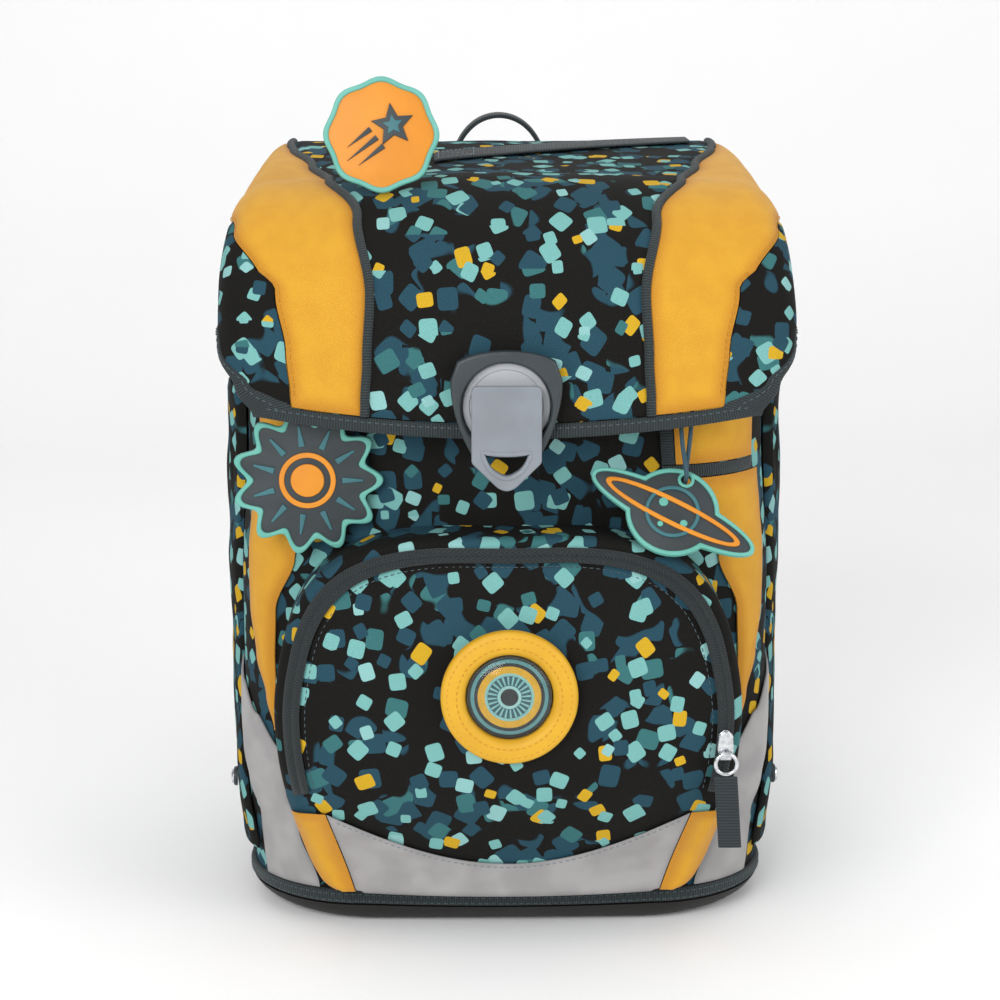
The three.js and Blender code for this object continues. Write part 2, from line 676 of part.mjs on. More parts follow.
// The bound edge: down the left ear, along the front, up the right ear
function lidBinding() {
  const sideSteps = LID_ROWS;
  const frontSteps = 14;
  const corner = reading(LID_SEAMS, 1, 'edge');
  const places = [];
  for (let step = 0; step <= sideSteps; step += 1) {
    const share = (step / sideSteps) ** LID_ROW_POWER;
    places.push({ across: -reading(LID_SEAMS, share, 'edge'), share });
  }
  for (let step = 1; step < frontSteps; step += 1) {
    places.push({ across: THREE.MathUtils.lerp(-corner, corner, step / frontSteps), share: 1 });
  }
  for (let step = 0; step <= sideSteps; step += 1) {
    const share = (1 - step / sideSteps) ** LID_ROW_POWER;
    places.push({ across: reading(LID_SEAMS, share, 'edge'), share });
  }
  const inward = (place) => {
    const side = Math.sign(place.across) * Math.min(1, Math.abs(place.across) / corner);
    const sideways = Math.min(1, Math.abs(side) ** 8);
    const shift = acrossShift(place.across, BINDING_WIDTH) * sideways * Math.sign(place.across);
    const back = (BINDING_WIDTH / LID_LENGTH) * THREE.MathUtils.smoothstep(place.share, 0.9, 1);
    return { across: place.across - shift, share: place.share - back };
  };
  const extra = (BINDING_THICKNESS - LID_THICKNESS) / 2;
  return sheet(places.length - 1, 1, (row, column, layer) => {
    const place = places[Math.round(row * (places.length - 1))];
    const spot = column < 0.5 ? place : inward(place);
    return lidPoint(spot.across, spot.share, layer ? LID_THICKNESS + extra : -extra);
  });
}

function buildFrontPocket() {
  const turns = 28;
  const ringAt = (grow, lift, root) => {
    const ring = [];
    for (let step = 0; step < turns; step += 1) {
      const share = step / turns;
      const turn = share <= 0.5 ? share * 2 : (share - 1) * 2;
      const point = pocketFace(turn, grow, lift);
      if (root > 0) {
        const back = frontSurface(point.x, point.z).y - SKIN_LIFT;
        point.y = THREE.MathUtils.lerp(point.y, back, root);
      }
      ring.push(point);
    }
    return ring;
  };
  const inset = POCKET_WALL / POCKET_HALF_WIDTH;
  const edge = POCKET_EDGE_ROUND / POCKET_HALF_WIDTH;
  const rings = [
    ringAt(1, -POCKET_EDGE_ROUND, 1),
    ringAt(1, -POCKET_EDGE_ROUND, 0),
    ringAt(1 - edge * 0.3, -POCKET_EDGE_ROUND * 0.3, 0),
    ringAt(1 - edge, 0, 0),
    ringAt(0.8, 0, 0),
    ringAt(0.5, 0, 0),
    ringAt(0.2, 0, 0),
    ringAt(0.2, -POCKET_WALL, 0),
    ringAt(0.5, -POCKET_WALL, 0),
    ringAt(0.8, -POCKET_WALL, 0),
    ringAt(1 - edge - inset, -POCKET_WALL, 0),
    ringAt(1 - inset, -POCKET_EDGE_ROUND - POCKET_WALL, 0),
    ringAt(1 - inset, -POCKET_EDGE_ROUND, 1),
  ];
  addPiece('front_pocket', bowl(rings), look.print);
}

// A bowl: rings from the outer root over the face's middle and back inside to the root
function bowl(rings) {
  const middle = Math.floor(rings.length / 2);
  const outer = rings.slice(0, middle + 1);
  const inner = rings.slice(middle + 1).reverse();
  const count = rings[0].length;
  const points = [...outer, ...inner].flat();
  const faces = [];
  const skin = (first, rows, flip) => {
    for (let row = 0; row < rows - 1; row += 1) {
      for (let step = 0; step < count; step += 1) {
        const next = (step + 1) % count;
        const low = (first + row) * count;
        const high = low + count;
        const quad = [[low + step, low + next, high + next], [low + step, high + next, high + step]];
        for (const [a, b, c] of quad) faces.push(flip ? [a, c, b] : [a, b, c]);
      }
    }
    const start = (first + rows - 1) * count;
    const hub = new THREE.Vector3();
    for (let step = 0; step < count; step += 1) hub.addScaledVector(points[start + step], 1 / count);
    points.push(hub);
    for (let step = 0; step < count; step += 1) {
      const next = (step + 1) % count;
      const cap = [start + step, start + next, points.length - 1];
      faces.push(flip ? [cap[0], cap[2], cap[1]] : cap);
    }
  };
  skin(0, outer.length, false);
  skin(outer.length, inner.length, true);
  for (let step = 0; step < count; step += 1) {
    const next = (step + 1) % count;
    const low = outer.length * count;
    faces.push([step, low + next, next], [step, low + step, low + next]);
  }
  return solidFrom(points, faces);
}

function buildZip() {
  const edge = POCKET_EDGE_ROUND / POCKET_HALF_WIDTH;
  addPiece('pocket_zip', sheet(28, 2, (row, column, layer) => {
    const turn = THREE.MathUtils.lerp(-ZIP_END, ZIP_END, row);
    const grow = 1 - edge + ZIP_SETOUT - column * ZIP_WIDTH / POCKET_HALF_WIDTH;
    return pocketFace(turn, grow, SKIN_LIFT + layer * ZIP_THICKNESS);
  }), look.trim);
}

// A skin on the body between two round lengths and two heights
function bodySkin(rows, columns, placeAt) {
  return sheet(rows, columns, (row, column, layer) => {
    const place = placeAt(row, column);
    return bodyPoint(place.round, place.z, SKIN_LIFT + layer * SKIN);
  });
}

// The lower yellow panels taper to a point beside the pocket; shares of the pocket's half width
const YELLOW_EDGES = [
  { up: 0.00, outer: 1.060, inner: 1.035 },
  { up: 0.13, outer: 1.110, inner: 1.045 },
  { up: 0.28, outer: 1.180, inner: 1.050 },
  { up: 0.47, outer: 1.230, inner: 1.040 },
  { up: 0.70, outer: 1.240, inner: 0.930 },
  { up: 0.85, outer: 1.220, inner: 0.800 },
  { up: 1.00, outer: 1.200, inner: 0.770 },
];
const BAND_BELOW_LID = 21;
const BAND_UP = LID_FOOT - BAND_BELOW_LID;
const BAND_HEIGHT = 6;
const YELLOW_TIP_UP = 97;
const FRONT_TRIM_ABOVE_FOOT = 36;
const FRONT_TRIM_TOP = LID_FOOT + FRONT_TRIM_ABOVE_FOOT;
const FRONT_TRIM_WIDTH = 6;
const FRONT_TRIM_TOP_INSET = 38;
const FRONT_TRIM_FOOT_INSET = 34;
const FRONT_TRIM_TOP_ACROSS = POCKET_HALF_WIDTH - FRONT_TRIM_TOP_INSET;
const FRONT_TRIM_BOTTOM_ACROSS = POCKET_HALF_WIDTH - FRONT_TRIM_FOOT_INSET;
const BAND_PAST_POCKET = 16;
const BAND_END = POCKET_HALF_WIDTH + BAND_PAST_POCKET;

function buildBodyFrontPanels() {
  for (const [side, name] of [[-1, 'left'], [1, 'right']]) {
    const lowerTop = BAND_UP - BAND_HEIGHT / 2 - SEAM_GAP;
    addPiece(`body_yellow_panel_${name}`, bodySkin(11, 3, (row, column) => {
      const inner = reading(YELLOW_EDGES, row, 'inner');
      const outer = reading(YELLOW_EDGES, row, 'outer');
      const round = THREE.MathUtils.lerp(inner, outer, column) * POCKET_HALF_WIDTH;
      return { round: side * round, z: THREE.MathUtils.lerp(YELLOW_TIP_UP, lowerTop, row) };
    }), look.yellow);
    const trimAt = (row) => THREE.MathUtils.lerp(FRONT_TRIM_BOTTOM_ACROSS, FRONT_TRIM_TOP_ACROSS, row);
    addPiece(`body_front_trim_${name}`, bodySkin(5, 1, (row, column) => ({
      round: side * (trimAt(row) + (column - 0.5) * FRONT_TRIM_WIDTH),
      z: THREE.MathUtils.lerp(BAND_UP + BAND_HEIGHT / 2 + SEAM_GAP, FRONT_TRIM_TOP, row),
    })), look.trim);
    addPiece(`body_front_band_${name}`, bodySkin(1, 5, (row, column) => ({
      round: side * THREE.MathUtils.lerp(FRONT_TRIM_BOTTOM_ACROSS - FRONT_TRIM_WIDTH / 2, BAND_END, column),
      z: BAND_UP + (row - 0.5) * BAND_HEIGHT,
    })), look.trim);
    addPiece(`body_upper_yellow_${name}`, bodySkin(4, 4, (row, column) => ({
      round: side * THREE.MathUtils.lerp(trimAt(row) + FRONT_TRIM_WIDTH / 2 + SEAM_GAP, BAND_END, column),
      z: THREE.MathUtils.lerp(BAND_UP + BAND_HEIGHT / 2 + SEAM_GAP, FRONT_TRIM_TOP, row),
    })), look.yellow);
  }
}

// The grey side panels: their top edge rises to the back, their back edge curves in low down
const GREY_TOPS = [
  { across: 0.00, up: 0.66 },
  { across: 0.35, up: 0.80 },
  { across: 0.70, up: 0.92 },
  { across: 1.00, up: 1.00 },
];
const GREY_EDGES = [
  { up: 0.00, inner: 0.840, outer: 1.150 },
  { up: 0.30, inner: 0.940, outer: 1.180 },
  { up: 0.45, inner: 1.000, outer: 1.300 },
  { up: 0.60, inner: 1.025, outer: 1.400 },
  { up: 0.80, inner: 1.035, outer: 1.500 },
  { up: 1.00, inner: 1.035, outer: 1.520 },
];
const GREY_HEIGHT = 104;
const PANEL_FOOT = TRAY_HEIGHT + GAP + TAPE_WIDTH + SEAM_GAP;

function buildGreySidePanels() {
  for (const [side, name] of [[-1, 'left'], [1, 'right']]) {
    addPiece(`reflective_panel_${name}`, bodySkin(8, 7, (row, column) => {
      const up = row * reading(GREY_TOPS, column, 'up');
      const inner = reading(GREY_EDGES, up, 'inner');
      const outer = reading(GREY_EDGES, up, 'outer');
      const round = THREE.MathUtils.lerp(inner, outer, column) * POCKET_HALF_WIDTH;
      return { round: side * round, z: PANEL_FOOT + up * GREY_HEIGHT };
    }), look.grey);
  }
}

// The grey centre panel and the yellow strips lie on the pocket's lower face
const CENTRE_TOP_MIDDLE = 42;
const CENTRE_TOP_SIDE = 70;
const CENTRE_TOP_INSET = 24;
const CENTRE_FOOT_INSET = 36;
const CENTRE_HALF_TOP = POCKET_HALF_WIDTH - CENTRE_TOP_INSET;
const CENTRE_HALF_FOOT = POCKET_HALF_WIDTH - CENTRE_FOOT_INSET;
const STRIP_WIDTH = 13;
const STRIP_SWELL = 2.5;

function buildPocketLowerPanels() {
  const foot = POCKET_BOTTOM + POCKET_EDGE_ROUND;
  addPiece('reflective_panel_centre', sheet(4, 14, (row, column, layer) => {
    const share = column * 2 - 1;
    const top = THREE.MathUtils.lerp(CENTRE_TOP_MIDDLE, CENTRE_TOP_SIDE, share * share);
    const z = THREE.MathUtils.lerp(foot, top, row);
    const half = THREE.MathUtils.lerp(CENTRE_HALF_FOOT, CENTRE_HALF_TOP, (z - foot) / (CENTRE_TOP_SIDE - foot));
    return pocketFront(share * half, z, SKIN_LIFT + layer * SKIN);
  }), look.grey);
  for (const [side, name] of [[-1, 'left'], [1, 'right']]) {
    addPiece(`yellow_strip_${name}`, sheet(5, 2, (row, column, layer) => {
      const z = THREE.MathUtils.lerp(foot, CENTRE_TOP_SIDE, row);
      const half = THREE.MathUtils.lerp(CENTRE_HALF_FOOT, CENTRE_HALF_TOP, (z - foot) / (CENTRE_TOP_SIDE - foot));
      const width = STRIP_WIDTH + STRIP_SWELL * Math.sin(Math.PI * row);
      const x = half + SEAM_GAP + column * width;
      return pocketFront(side * x, z, SKIN_LIFT + layer * SKIN);
    }), look.yellow);
  }
}

// Side pockets stand off the flanks and are open at the top
const SIDE_POCKET_EDGES = [
  { up: 0.00, front: 1.210, full: 0.25 },
  { up: 0.14, front: 1.350, full: 0.60 },
  { up: 0.26, front: 1.530, full: 0.85 },
  { up: 0.40, front: 1.590, full: 0.90 },
  { up: 0.62, front: 1.560, full: 1.05 },
  { up: 0.84, front: 1.430, full: 1.55 },
  { up: 1.00, front: 1.400, full: 1.60 },
];
const SIDE_POCKET_BACK = 2.32;

function sidePocketPoint(side, row, column, lift) {
  const z = THREE.MathUtils.lerp(SIDE_POCKET_BOTTOM, SIDE_POCKET_TOP, row);
  const front = reading(SIDE_POCKET_EDGES, row, 'front');
  const full = reading(SIDE_POCKET_EDGES, row, 'full') * SIDE_POCKET_FULLNESS;
  const round = THREE.MathUtils.lerp(front, SIDE_POCKET_BACK, column ** 1.3) * POCKET_HALF_WIDTH;
  return bodyPoint(side * round, z, SKIN_LIFT * 1.4 + lift + full * Math.sin(Math.PI * column) ** 0.7);
}

function buildSidePockets() {
  for (const [side, name] of [[-1, 'left'], [1, 'right']]) {
    addPiece(`side_pocket_${name}`, sheet(8, 7, (row, column, layer) => (
      sidePocketPoint(side, row, column, layer * SIDE_POCKET_WALL)
    )), look.print);
    const row = (STUD_UP - SIDE_POCKET_BOTTOM) / (SIDE_POCKET_TOP - SIDE_POCKET_BOTTOM);
    const seat = sidePocketPoint(side, row, 0.3, SIDE_POCKET_WALL);
    const stud = new THREE.CylinderGeometry(STUD_RADIUS * 0.8, STUD_RADIUS, STUD_HEIGHT, 16);
    stud.rotateZ(-side * Math.PI / 2);
    stud.translate(seat.x + side * (STUD_HEIGHT / 2 + 0.8), seat.y, seat.z);
    addPiece(`side_stud_${name}`, stud, look.chrome);
  }
}

// A closed ring or dome about the front's axis, from a lathe profile of radius and height
function facingFront(profile, segments, x, y, z) {
  const points = profile.map(([radius, height]) => new THREE.Vector2(radius, height));
  const lathe = new THREE.LatheGeometry(points, segments);
  lathe.rotateX(Math.PI);
  lathe.translate(x, y, z);
  return lathe;
}

function buildLensBadge() {
  const seats = [-0.9, 0, 0.9].map((share) => (
    pocketFront(LENS_ACROSS, LENS_UP + share * LENS_RING_RADIUS, -GAP).y
  ));
  const back = Math.min(...seats);
  const inner = LENS_RADIUS + GAP;
  addPiece('lens_ring', facingFront([
    [inner, 0], [LENS_RING_RADIUS, 0], [LENS_RING_RADIUS, LENS_RING_HEIGHT * 0.5],
    [LENS_RING_RADIUS * 0.93, LENS_RING_HEIGHT * 0.86], [LENS_RING_RADIUS * 0.8, LENS_RING_HEIGHT],
    [inner * 1.08, LENS_RING_HEIGHT * 0.9], [inner, LENS_RING_HEIGHT * 0.55], [inner, 0],
  ], 24, LENS_ACROSS, back, LENS_UP), look.ring);
  addPiece('lens_disc', facingFront([
    [0, 0], [LENS_RADIUS, 0], [LENS_RADIUS, 1.2], [0, 1.2],
  ], 24, LENS_ACROSS, back, LENS_UP), look.trim);
  const dome = [[0, 1.6], [LENS_RADIUS, 1.6]];
  for (const share of [0.95, 0.8, 0.6, 0.35, 0]) {
    dome.push([LENS_RADIUS * share, 1.6 + LENS_DOME * Math.sqrt(1 - share * share * 0.9)]);
  }
  addPiece('lens', facingFront(dome, 24, LENS_ACROSS, back, LENS_UP), look.glass);
}

function extruded(shape, depth, bevel, curveSegments) {
  return new THREE.ExtrudeGeometry(shape, {
    depth: depth - 2 * bevel, bevelEnabled: bevel > 0, bevelThickness: bevel, bevelSize: bevel,
    bevelSegments: 1, curveSegments,
  }).translate(0, 0, bevel);
}

// Turn a shape drawn in XY so that it stands in XZ with its drawn front towards -Y
function standing(geometry, x, y, z, leanBack = 0) {
  geometry.rotateX(Math.PI / 2 - leanBack);
  geometry.translate(x, y, z);
  return geometry;
}

function shieldShape(grow) {
  const half = BUCKLE_WIDTH / 2 * grow;
  const tall = BUCKLE_HEIGHT * grow;
  const shape = new THREE.Shape();
  shape.moveTo(-half * 0.60, -tall * 0.5);
  shape.bezierCurveTo(-half * 0.9, -tall * 0.25, -half * 1.02, tall * 0.05, -half, tall * 0.22);
  shape.lineTo(-half * 0.88, tall * 0.39);
  shape.bezierCurveTo(-half * 0.5, tall * 0.52, half * 0.5, tall * 0.52, half * 0.88, tall * 0.39);
  shape.lineTo(half, tall * 0.22);
  shape.bezierCurveTo(half * 1.02, tall * 0.05, half * 0.9, -tall * 0.25, half * 0.60, -tall * 0.5);
  return new THREE.Shape(shape.getPoints(7).reverse());
}

// Points round a circle, without the last one that would repeat the first
function circlePath(x, y, radius, count) {
  const points = [];
  for (let step = 0; step < count; step += 1) {
    const angle = -(step / count) * Math.PI * 2;
    points.push(new THREE.Vector2(x + radius * Math.cos(angle), y + radius * Math.sin(angle)));
  }
  return new THREE.Path(points);
}

// The lever plate hangs from its hinge line at the origin; its tip is a blunt point
function leverShape() {
  const half = LEVER_WIDTH / 2 - LEVER_BEVEL;
  const shoulder = -LEVER_LENGTH * 0.68;
  const shape = new THREE.Shape();
  shape.moveTo(-half, LEVER_CORNER);
  shape.lineTo(-half, shoulder);
  shape.lineTo(-half * 0.33, -LEVER_LENGTH * 0.94);
  shape.quadraticCurveTo(0, -LEVER_LENGTH * 1.06, half * 0.33, -LEVER_LENGTH * 0.94);
  shape.lineTo(half, shoulder);
  shape.lineTo(half, LEVER_CORNER);
  shape.quadraticCurveTo(half, LEVER_CORNER * 2, half - LEVER_CORNER, LEVER_CORNER * 2);
  shape.lineTo(LEVER_CORNER - half, LEVER_CORNER * 2);
  shape.quadraticCurveTo(-half, LEVER_CORNER * 2, -half, LEVER_CORNER);
  const top = -LEVER_LENGTH + SLOT_ABOVE_TIP + SLOT_HEIGHT;
  const slotHalf = SLOT_WIDTH / 2;
  const slot = new THREE.Path();
  slot.moveTo(-slotHalf, top);
  slot.quadraticCurveTo(0, top - 2, slotHalf, top);
  slot.lineTo(slotHalf * 0.35, top - SLOT_HEIGHT * 0.85);
  slot.quadraticCurveTo(0, top - SLOT_HEIGHT * 1.1, -slotHalf * 0.35, top - SLOT_HEIGHT * 0.85);
  shape.holes.push(slot);
  return shape;
}

function buildBuckle() {
  const seat = lidPoint(0, 1, LID_THICKNESS + (BINDING_THICKNESS - LID_THICKNESS) / 2).y - LID_CROWN * 0.08;
  const shield = shieldShape(1 - 2 * FRAME_BEVEL / BUCKLE_WIDTH);
  shield.holes.push(circlePath(0, -DISC_DROP, DISC_RADIUS + GAP + FRAME_BEVEL, 32));
  addPiece('buckle_frame', standing(
    extruded(shield, BUCKLE_THICKNESS, FRAME_BEVEL, 6), BUCKLE_ACROSS, seat, BUCKLE_UP,
  ), look.frame);
  const disc = new THREE.CylinderGeometry(DISC_RADIUS, DISC_RADIUS, DISC_THICKNESS, 32);
  disc.translate(BUCKLE_ACROSS, seat - DISC_THICKNESS / 2, BUCKLE_UP - DISC_DROP);
  addPiece('buckle_disc', disc, look.plate);
  const plate = extruded(leverShape(), LEVER_THICKNESS, LEVER_BEVEL, 4);
  addPiece('buckle_lever', standing(
    plate, BUCKLE_ACROSS, seat - BUCKLE_THICKNESS - GAP, BUCKLE_UP + LEVER_HINGE_ABOVE,
  ), look.plate);
}

// Webbing across the lid top, from beside the badge to the right back corner
function buildTopStrap() {
  addPiece('top_strap', sheet(8, 2, (row, column, layer) => {
    const across = THREE.MathUtils.lerp(TOP_STRAP_LEFT, TOP_STRAP_RIGHT, row);
    const middle = THREE.MathUtils.lerp(TOP_STRAP_LEFT_SETBACK, TOP_STRAP_RIGHT_SETBACK, row ** 0.8);
    const along = (middle + (column - 0.5) * WEBBING_WIDTH) / LID_LENGTH;
    return lidPoint(across, along, LID_THICKNESS + SKIN_LIFT + layer * WEBBING_THICKNESS);
  }), look.trim);
}

// The grab handle: a webbing arch behind the lid, sewn to the back
function buildGrabHandle() {
  const half = HANDLE_SPAN / 2;
  const foot = BODY_HEIGHT - LID_SLOPE - LID_STAND_OFF - HANDLE_FOOT;
  const rise = LID_TOP + HANDLE_RISE - foot;
  addPiece('grab_handle', sheet(18, 1, (row, column, layer) => {
    const turn = Math.PI * row;
    const grow = layer * HANDLE_THICKNESS;
    const x = -Math.cos(turn) * (half + grow);
    const z = foot + Math.sin(turn) ** 0.6 * (rise + grow);
    return new THREE.Vector3(x + HANDLE_ACROSS, BACK_PLANE + GAP + column * WEBBING_WIDTH, z);
  }), look.trim);
}

// The back pad's thickness at a place, across and up from -1 to 1
function padThickness(across, up) {
  return BACK_PAD_THICKNESS * (0.35 + 0.65 * (1 - Math.abs(across) ** 6) * (1 - Math.abs(up) ** 8));
}

function buildBackPadding() {
  addPiece('back_pad', sheet(10, 8, (row, column, layer) => {
    const across = column * 2 - 1;
    const up = row * 2 - 1;
    const corner = 1 - 0.10 * Math.abs(up) ** 6;
    return new THREE.Vector3(
      across * corner * BACK_PAD_HALF_WIDTH,
      BACK_PLANE + GAP + layer * padThickness(across, up),
      BACK_PAD_BOTTOM + row * BACK_PAD_HEIGHT,
    );
  }), look.mesh);
}

// Where a strap's end meets the pad
function padSeat(x, z) {
  const up = (z - BACK_PAD_BOTTOM) / BACK_PAD_HEIGHT * 2 - 1;
  return BACK_PLANE + GAP + padThickness(x / BACK_PAD_HALF_WIDTH, up);
}

// A shoulder strap's centre line at a share from its top to its bottom
function strapPath(share) {
  const top = padSeat(STRAP_TOP_SPREAD, STRAP_TOP);
  const bottom = padSeat(STRAP_BOTTOM_SPREAD, STRAP_BOTTOM);
  const bow = Math.sin(Math.PI * Math.min(1, share)) ** 0.75;
  return {
    x: THREE.MathUtils.lerp(STRAP_TOP_SPREAD, STRAP_BOTTOM_SPREAD, share ** 1.4),
    y: THREE.MathUtils.lerp(top, bottom, share) + STRAP_STAND_OFF * bow,
    z: THREE.MathUtils.lerp(STRAP_TOP, STRAP_BOTTOM, share) + STRAP_RISE * Math.sin(Math.PI * share) ** 2 * (1 - share),
  };
}

function strapPiece(side, rows, columns, from, to, widthAt, thickness) {
  return sheet(rows, columns, (row, column, layer) => {
    const share = THREE.MathUtils.lerp(from, to, row);
    const here = strapPath(share);
    const ahead = strapPath(Math.min(1, share + 0.01));
    const behind = strapPath(Math.max(0, share - 0.01));
    const along = new THREE.Vector2(ahead.y - behind.y, ahead.z - behind.z).normalize();
    const crown = 1 - 0.5 * Math.abs(column * 2 - 1) ** 4;
    const out = layer * thickness * crown;
    const x = here.x + (column - 0.5) * widthAt(row);
    return new THREE.Vector3(side * x, here.y - along.y * out, here.z + along.x * out);
  });
}

function buildShoulderStraps() {
  for (const [side, name] of [[-1, 'left'], [1, 'right']]) {
    addPiece(`shoulder_strap_${name}`, strapPiece(
      side, 11, 4, 0, STRAP_JOIN, (row) => STRAP_WIDTH * (1 - 0.3 * row ** 3), STRAP_THICKNESS,
    ), look.mesh);
    addPiece(`strap_webbing_${name}`, strapPiece(
      side, 8, 1, STRAP_JOIN + STRAP_JOIN_GAP, 1, () => WEBBING_WIDTH, WEBBING_THICKNESS * 1.5,
    ), look.trim);
  }
}

// An outline round a centre from a radius for each turn
function roundShape(count, radiusAt) {
  const points = [];
  for (let step = 0; step < count; step += 1) {
    const angle = (step / count) * Math.PI * 2;
    const radius = radiusAt(angle);
    points.push(new THREE.Vector2(radius * Math.cos(angle), radius * Math.sin(angle)));
  }
  return new THREE.Shape(points);
}

function pendantRadius(angle) {
  const turned = angle - PENDANT_TILT;
  const long = PENDANT_LENGTH / 2;
  const short = PENDANT_RING_HEIGHT / 2;
  const ring = (long * short) / Math.hypot(short * Math.cos(turned), long * Math.sin(turned));
  return Math.max(ring, PENDANT_HEIGHT / 2);
}

function buildBadges() {
  const leftY = bodyPoint(LEFT_BADGE_ACROSS + LEFT_BADGE_RADIUS, LEFT_BADGE_UP, 0).y - SKIN - GAP * 2 - 0.6;
  const burst = roundShape(66, (angle) => LEFT_BADGE_RADIUS * (0.9 + 0.1 * Math.cos(angle * BURST_RAYS)));
  addPiece('left_badge', standing(
    extruded(burst, BADGE_THICKNESS, 0, 1), LEFT_BADGE_ACROSS, leftY, LEFT_BADGE_UP,
  ), look.rubber);

  const planet = roundShape(40, pendantRadius);
  planet.holes.push(circlePath(EYELET_ASIDE, EYELET_ABOVE, PENDANT_EYELET_RADIUS, 12));
  const pendantY = bodyPoint(PENDANT_ACROSS - PENDANT_LENGTH / 2, PENDANT_UP, 0).y - PENDANT_FORWARD;
  addPiece('pendant_badge', standing(
    extruded(planet, BADGE_THICKNESS, 0, 1), PENDANT_ACROSS, pendantY, PENDANT_UP, PENDANT_LEAN,
  ), look.rubber);
  buildPendantCord(pendantY);

  const seat = lidPoint(TOP_BADGE_ACROSS, TOP_BADGE_ALONG, LID_THICKNESS);
  const comet = roundShape(40, (angle) => TOP_BADGE_RADIUS * (0.97 + 0.03 * Math.cos(angle * 8)));
  const badge = extruded(comet, BADGE_THICKNESS, 0, 1);
  badge.translate(0, TOP_BADGE_RADIUS, 0);
  addPiece('top_badge', standing(badge, seat.x, seat.y, seat.z + 0.6, TOP_BADGE_LEAN), look.orange);
}

// The doubled cord from under the lid, down through the eyelet and back up
const CORD_ROUTE = [
  { aside: -3.0, forward: 11.0, above: 46, seated: 1 },
  { aside: -2.4, forward: 7.6, above: 31, seated: 0 },
  { aside: -1.6, forward: 2.2, above: 18, seated: 0 },
  { aside: -0.6, forward: -3.0, above: 9, seated: 0 },
  { aside: 0.0, forward: -4.3, above: 3.8, seated: 0 },
  { aside: 0.0, forward: -1.4, above: 1.7, seated: 0 },
  { aside: 0.0, forward: 2.0, above: -0.4, seated: 0 },
  { aside: 0.6, forward: 5.2, above: 3.8, seated: 0 },
  { aside: 2.2, forward: 6.6, above: 18, seated: 0 },
  { aside: 3.4, forward: 9.0, above: 32, seated: 0 },
  { aside: 4.0, forward: 12.0, above: 46, seated: 1 },
];

function buildPendantCord(pendantY) {
  const eye = new THREE.Vector3(
    PENDANT_ACROSS + EYELET_ASIDE,
    pendantY + EYELET_ABOVE * Math.sin(PENDANT_LEAN),
    PENDANT_UP + EYELET_ABOVE * Math.cos(PENDANT_LEAN),
  );
  const seatLift = SKIN_LIFT + SKIN + GAP + CORD_DIAMETER / 2;
  const path = new THREE.CatmullRomCurve3(CORD_ROUTE.map((row) => {
    const place = new THREE.Vector3(eye.x + row.aside, eye.y + row.forward, eye.z + row.above);
    if (row.seated) place.y = bodyPoint(place.x, place.z, seatLift).y;
    return place;
  }));
  const section = new THREE.Shape(roundShape(8, () => CORD_DIAMETER / 2).getPoints());
  const tube = new THREE.ExtrudeGeometry(section, { steps: 22, extrudePath: path, bevelEnabled: false });
  addPiece('pendant_cord', tube, look.cord);
}

// The middle of the zip at a height on its right side, lifted off the tape
function zipMiddle(z, lift) {
  const grow = 1 - (POCKET_EDGE_ROUND + ZIP_WIDTH / 2) / POCKET_HALF_WIDTH + ZIP_SETOUT;
  let low = 0.3;
  let high = ZIP_END;
  for (let step = 0; step < 24; step += 1) {
    const middle = (low + high) / 2;
    if (pocketFace(middle, grow, 0).z > z) low = middle;
    else high = middle;
  }
  return pocketFace(low, grow, SKIN_LIFT + ZIP_THICKNESS + lift);
}

// The slider on the zip's right end, its ring and its webbing tab
function buildZipPull() {
  const seat = zipMiddle(SLIDER_UP, SLIDER_LIFT);
  const aside = (pocketFront(seat.x + 2, seat.z, 0).y - pocketFront(seat.x - 2, seat.z, 0).y) / 4;
  const body = new THREE.BoxGeometry(SLIDER_WIDTH, SLIDER_DEPTH, SLIDER_LENGTH, 2, 1, 3);
  body.translate(0, -SLIDER_DEPTH / 2, 0);
  body.rotateZ(Math.atan(aside));
  body.translate(seat.x, seat.y, seat.z);
  addPiece('zip_slider', body, look.chrome);
  const turnOut = Math.abs(aside) * SLIDER_WIDTH / 2;
  const ringY = seat.y - SLIDER_DEPTH - turnOut - RING_WIRE - GAP;
  const ringZ = seat.z - SLIDER_LENGTH / 2 - RING_RADIUS * 0.2;
  const ring = new THREE.TorusGeometry(RING_RADIUS, RING_WIRE, 6, 14);
  ring.rotateX(Math.PI / 2);
  ring.translate(seat.x, ringY, ringZ);
  addPiece('zip_ring', ring, look.chrome);
  const tabTop = ringZ - RING_RADIUS - RING_WIRE - GAP;
  addPiece('zip_tab', sheet(6, 1, (row, column, layer) => new THREE.Vector3(
    seat.x + (column - 0.5) * TAB_WIDTH + row * TAB_DRIFT,
    ringY + (layer - 0.5) * TAB_THICKNESS + row * TAB_DRIFT,
    tabTop - row * TAB_LENGTH,
  )), look.trim);
}

buildBodyShell();
buildBaseTray();
buildBaseTape();
buildLid();
buildFrontPocket();
buildZip();
buildBodyFrontPanels();
buildGreySidePanels();
buildPocketLowerPanels();
buildSidePockets();
buildLensBadge();
buildBuckle();
buildTopStrap();
buildGrabHandle();
buildBackPadding();
buildShoulderStraps();
buildBadges();
buildZipPull();

export default group;
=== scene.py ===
import math
import random

import bmesh
import bpy
from mathutils import Matrix, Vector, noise


